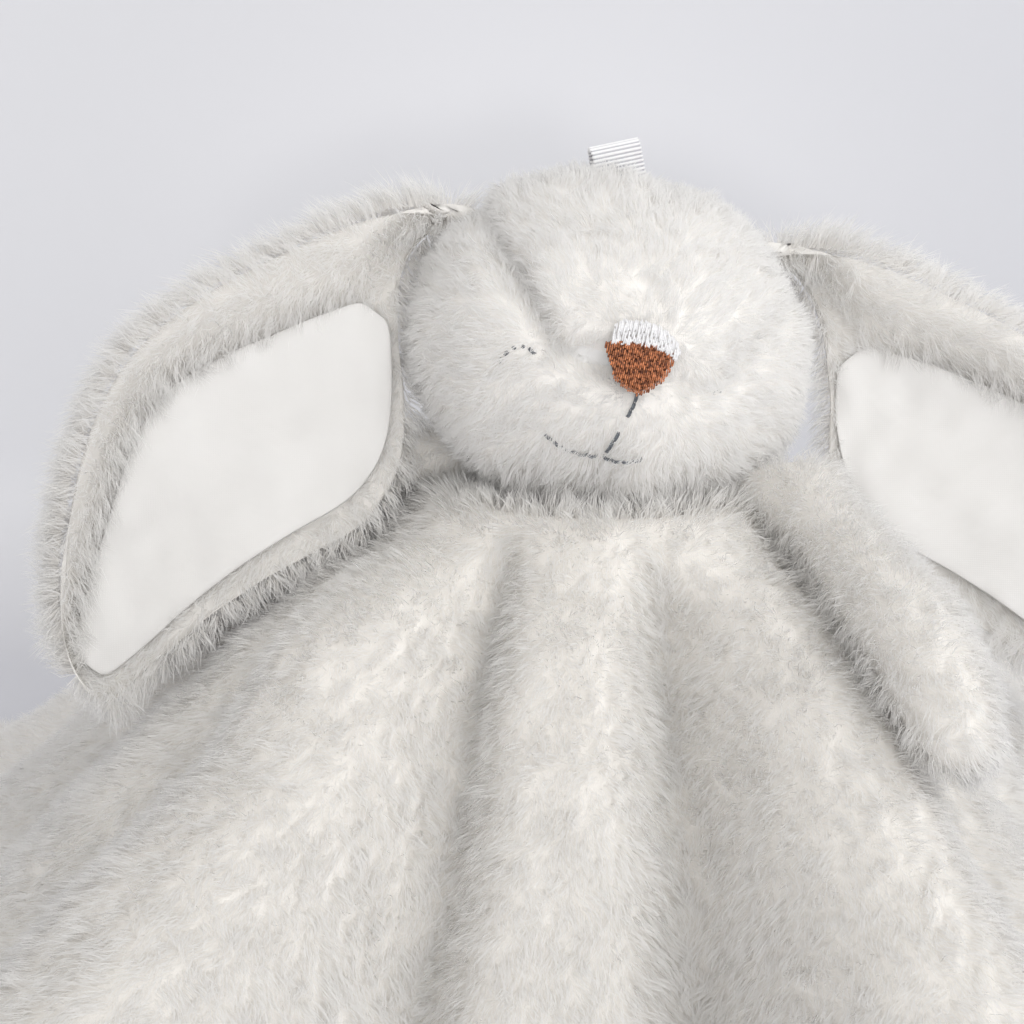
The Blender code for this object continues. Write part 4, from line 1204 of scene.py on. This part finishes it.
# Hang loop: a ribbed ribbon folded over at the crown
loopValues = {
    "width": 0.0105,
    "gap": 0.0034,
    "thick": 0.0007,
    "height": 0.0046,
    "side": -11,
    "lean": -14,
    "sunk": 0.0035,  # the legs go down through the pile to the seam
    "rib": 0.00085,
    "ribDepth": 0.0004,
}


def headWay(latitude, turn):
    level = math.cos(latitude)
    return np.array([math.sin(latitude), -level * math.cos(turn), level * math.sin(turn)])


loopBase = headWay(math.radians(loopValues["side"]), math.radians(92))
loopFoot = headPoint + headTurned @ (loopBase * headRadius(loopBase[None])[0])
loopTilt = math.radians(loopValues["side"] + loopValues["lean"])
loopUp = headTurned @ headWay(loopTilt, math.radians(92))
loopAcross = headTurned @ np.array([1.0, 0, 0])
loopAcross = unit(loopAcross - loopUp * (loopAcross @ loopUp))
loopFore = np.cross(loopUp, loopAcross)
halfGap = loopValues["gap"] / 2
leg = loopValues["height"] - halfGap - loopValues["thick"]
sunk = loopValues["sunk"]
arc = math.pi * (halfGap + loopValues["thick"] / 2)
total = 2 * (leg + sunk) + arc
lengthSteps = int(total / loopValues["rib"]) * 10
widthSteps = 22
ribbonSides = []
ribPhase = []
for outer in (1, 0):
    rows = []
    for step in range(lengthSteps + 1):
        place = total * step / lengthSteps
        rib = 0.5 + 0.5 * math.cos(tau * place / loopValues["rib"])
        reach = halfGap + (loopValues["thick"] if outer else 0.0002)
        reach = reach + (rib - 0.5) * loopValues["ribDepth"] * (1 if outer else -1)
        if place < leg + sunk:
            point = -loopFore * reach + loopUp * (place - sunk)
        elif place > leg + sunk + arc:
            point = loopFore * reach + loopUp * (total - place - sunk)
        else:
            bend = (place - leg - sunk) / arc * math.pi
            point = loopUp * (leg + math.sin(bend) * reach) - loopFore * math.cos(bend) * reach
        ribPhase += [rib] * (widthSteps + 1)
        wide = loopValues["width"] * (0.5 + 0.022 * rib)
        across = np.linspace(-1, 1, widthSteps + 1)[:, None]
        rows.append(loopFoot + point + loopAcross * across * wide)
    ribbonSides.append(np.array(rows))
columns = widthSteps + 1
ribbonPoints = np.concatenate([ribbonSides[0].reshape(-1, 3), ribbonSides[1].reshape(-1, 3)])
face = gridFaces(lengthSteps + 1, columns)
offset = (lengthSteps + 1) * columns
border = np.concatenate(
    [
        np.arange(columns),
        np.arange(1, lengthSteps + 1) * columns + columns - 1,
        lengthSteps * columns + np.arange(columns - 2, -1, -1),
        np.arange(lengthSteps - 1, 0, -1) * columns,
    ]
)
following = np.roll(border, -1)
edgeQuads = np.stack([border, border + offset, following + offset, following], axis=-1)
loopQuads = np.concatenate([face, face[:, ::-1] + offset, edgeQuads])
# rib height sets the painted shade: grey in the valleys, pale on the crests
ribHeight = np.array(ribPhase)[loopQuads.ravel()]
weft = np.tile([0.2, 0.4, 0.6, 0.8], len(loopQuads))
loopMesh = meshFrom(
    "hangLoop", ribbonPoints, loopQuads.ravel(), np.full(len(loopQuads), 4),
    np.stack([weft, mix(0.02, 0.98, ribHeight)], axis=-1),
)
loopPiece = addPiece("hangLoop", loopMesh, ribbonLook, "loop")
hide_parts("hang_loop")
print("hang loop made")

# Neck seam: slanted stitches around the top of the blanket, under the pile
seamRuns = []
for step in range(72):
    first, last = (tau * (step + share) / 72 for share in (0.1, 0.9))
    ends = [
        neckPoint + [radius * math.cos(angle), radius * math.sin(angle), 0.0006]
        for angle, radius in ((first, 0.0292), (last, 0.0308))
    ]
    seamRuns.append((*ends, np.array([0.0, 0.0, 1.0])))
seamMesh = stitchMesh("neckSeam", seamRuns, 0.00025)
seamPiece = addPiece("neckSeam", seamMesh, whiteThreadLook, "neck")
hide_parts("neck_seam")

for node in ("head_stuffing", "arm_left_stuffing", "arm_right_stuffing"):
    frame["nodes"][node].data.materials.clear()
    frame["nodes"][node].data.materials.append(fillLook)


# Floor that sweeps up into a wall behind the toy
stageValues = {
    "wall": 0.30,
    "sweep": 0.07,
    "wide": 3.0,
    "deep": 2.5,
    "high": 2.5,
    "floorShadeTone": (0.71, 0.715, 0.755),
    "wallTone": (0.87, 0.878, 0.915),
    "rightShadeTone": (0.30, 0.31, 0.36),
}
wall, sweep, wide, deep = (stageValues[key] for key in ("wall", "sweep", "wide", "deep"))
profile = [(-deep, 0.0)]
for step in range(17):
    angle = math.pi / 2 * step / 16
    profile.append((wall - sweep * (1 - math.sin(angle)), sweep * (1 - math.cos(angle))))
profile.append((wall, stageValues["high"]))
stagePoints = np.array([(x, y, z) for y, z in profile for x in (-wide, wide)])
stageMesh = quadMesh("floor", stagePoints, gridFaces(len(profile), 2))
stageLook = newLook("paleFloor", stageValues["wallTone"], 0.7)
tree = stageLook.node_tree
stagePlace = tree.nodes.new("ShaderNodeTexCoord")
stageParts = tree.nodes.new("ShaderNodeSeparateXYZ")
tree.links.new(stagePlace.outputs["Object"], stageParts.inputs[0])
# the floor is painted darker than the wall, as the shade on it
stageRise = ramp(tree, stageParts.outputs["Z"], 0.0, 0.05)
stageTone = mixColour(
    tree, (*stageValues["floorShadeTone"], 1), (*stageValues["wallTone"], 1), stageRise
)
# the floor and wall are painted darker towards the right, as shade
stageRightShade = ramp(tree, stageParts.outputs["X"], -0.25, 0.25, 0.0, 0.26)
stageTone = mixColour(tree, stageTone, (*stageValues["rightShadeTone"], 1), stageRightShade)
tree.links.new(stageTone, tree.nodes["Principled BSDF"].inputs["Base Color"])
# the wall is see-through from its back, so that it doesn't hide the toy in views from behind
backSide = tree.nodes.new("ShaderNodeNewGeometry")
clear = tree.nodes.new("ShaderNodeBsdfTransparent")
wallOrClear = tree.nodes.new("ShaderNodeMixShader")
tree.links.new(backSide.outputs["Backfacing"], wallOrClear.inputs[0])
tree.links.new(tree.nodes["Principled BSDF"].outputs[0], wallOrClear.inputs[1])
tree.links.new(clear.outputs[0], wallOrClear.inputs[2])
tree.links.new(wallOrClear.outputs[0], tree.nodes["Material Output"].inputs["Surface"])
stageMesh.shade_smooth()
behindPoints = np.array([(x, y, 0.0) for y in (wall - sweep, deep) for x in (-wide, wide)])
behindMesh = quadMesh("floorBehind", behindPoints, np.array([[0, 1, 3, 2]]))
for mesh in (stageMesh, behindMesh):
    mesh.materials.append(stageLook)
    stageObject = bpy.data.objects.new(mesh.name, mesh)
    scene.collection.objects.link(stageObject)

# Light: a pale room, a small soft window above and to the right, a large soft lamp in front, and
# a narrow one from low in front, for the light that pile passes on under the chin
world = bpy.data.worlds.new("paleRoom")
scene.world = world
world.use_nodes = True
background = world.node_tree.nodes["Background"]
background.inputs["Color"].default_value = (1.0, 0.985, 0.965, 1)
background.inputs["Strength"].default_value = 0.68
headMiddle = tuple(headPoint)
chinPlace = tuple(neckPoint + [0.012, 0.0, -0.012])
lights = {
    "window": {
        "size": 0.5, "power": 1.1, "place": (0.38, -0.26, 0.45), "colour": (1.0, 1.0, 1.0),
        "aim": headMiddle,
    },
    "room": {
        "size": 2.6, "power": 27, "place": (0.30, -2.5, 0.15), "colour": (1.0, 0.995, 0.985),
        "aim": headMiddle,
    },
    "low": {
        "size": 0.12, "power": 22, "place": (0.08, -1.1, 0.02), "colour": (1.0, 0.975, 0.94),
        "aim": chinPlace, "cone": 10,
    },
}
for lightName, values in lights.items():
    data = bpy.data.lights.new(lightName, "SPOT" if "cone" in values else "AREA")
    data.energy = values["power"]
    data.color = values["colour"]
    if "cone" in values:
        data.shadow_soft_size = values["size"]
        data.spot_size = math.radians(values["cone"])
        data.spot_blend = 1.0
    else:
        data.size = values["size"]
    lamp = bpy.data.objects.new(lightName, data)
    scene.collection.objects.link(lamp)
    lamp.location = values["place"]
    aimAt = Vector(values["aim"]) - lamp.location
    lamp.rotation_euler = aimAt.to_track_quat("-Z", "Y").to_euler()
scene.view_settings.view_transform = "Standard"
print("stage and light made")
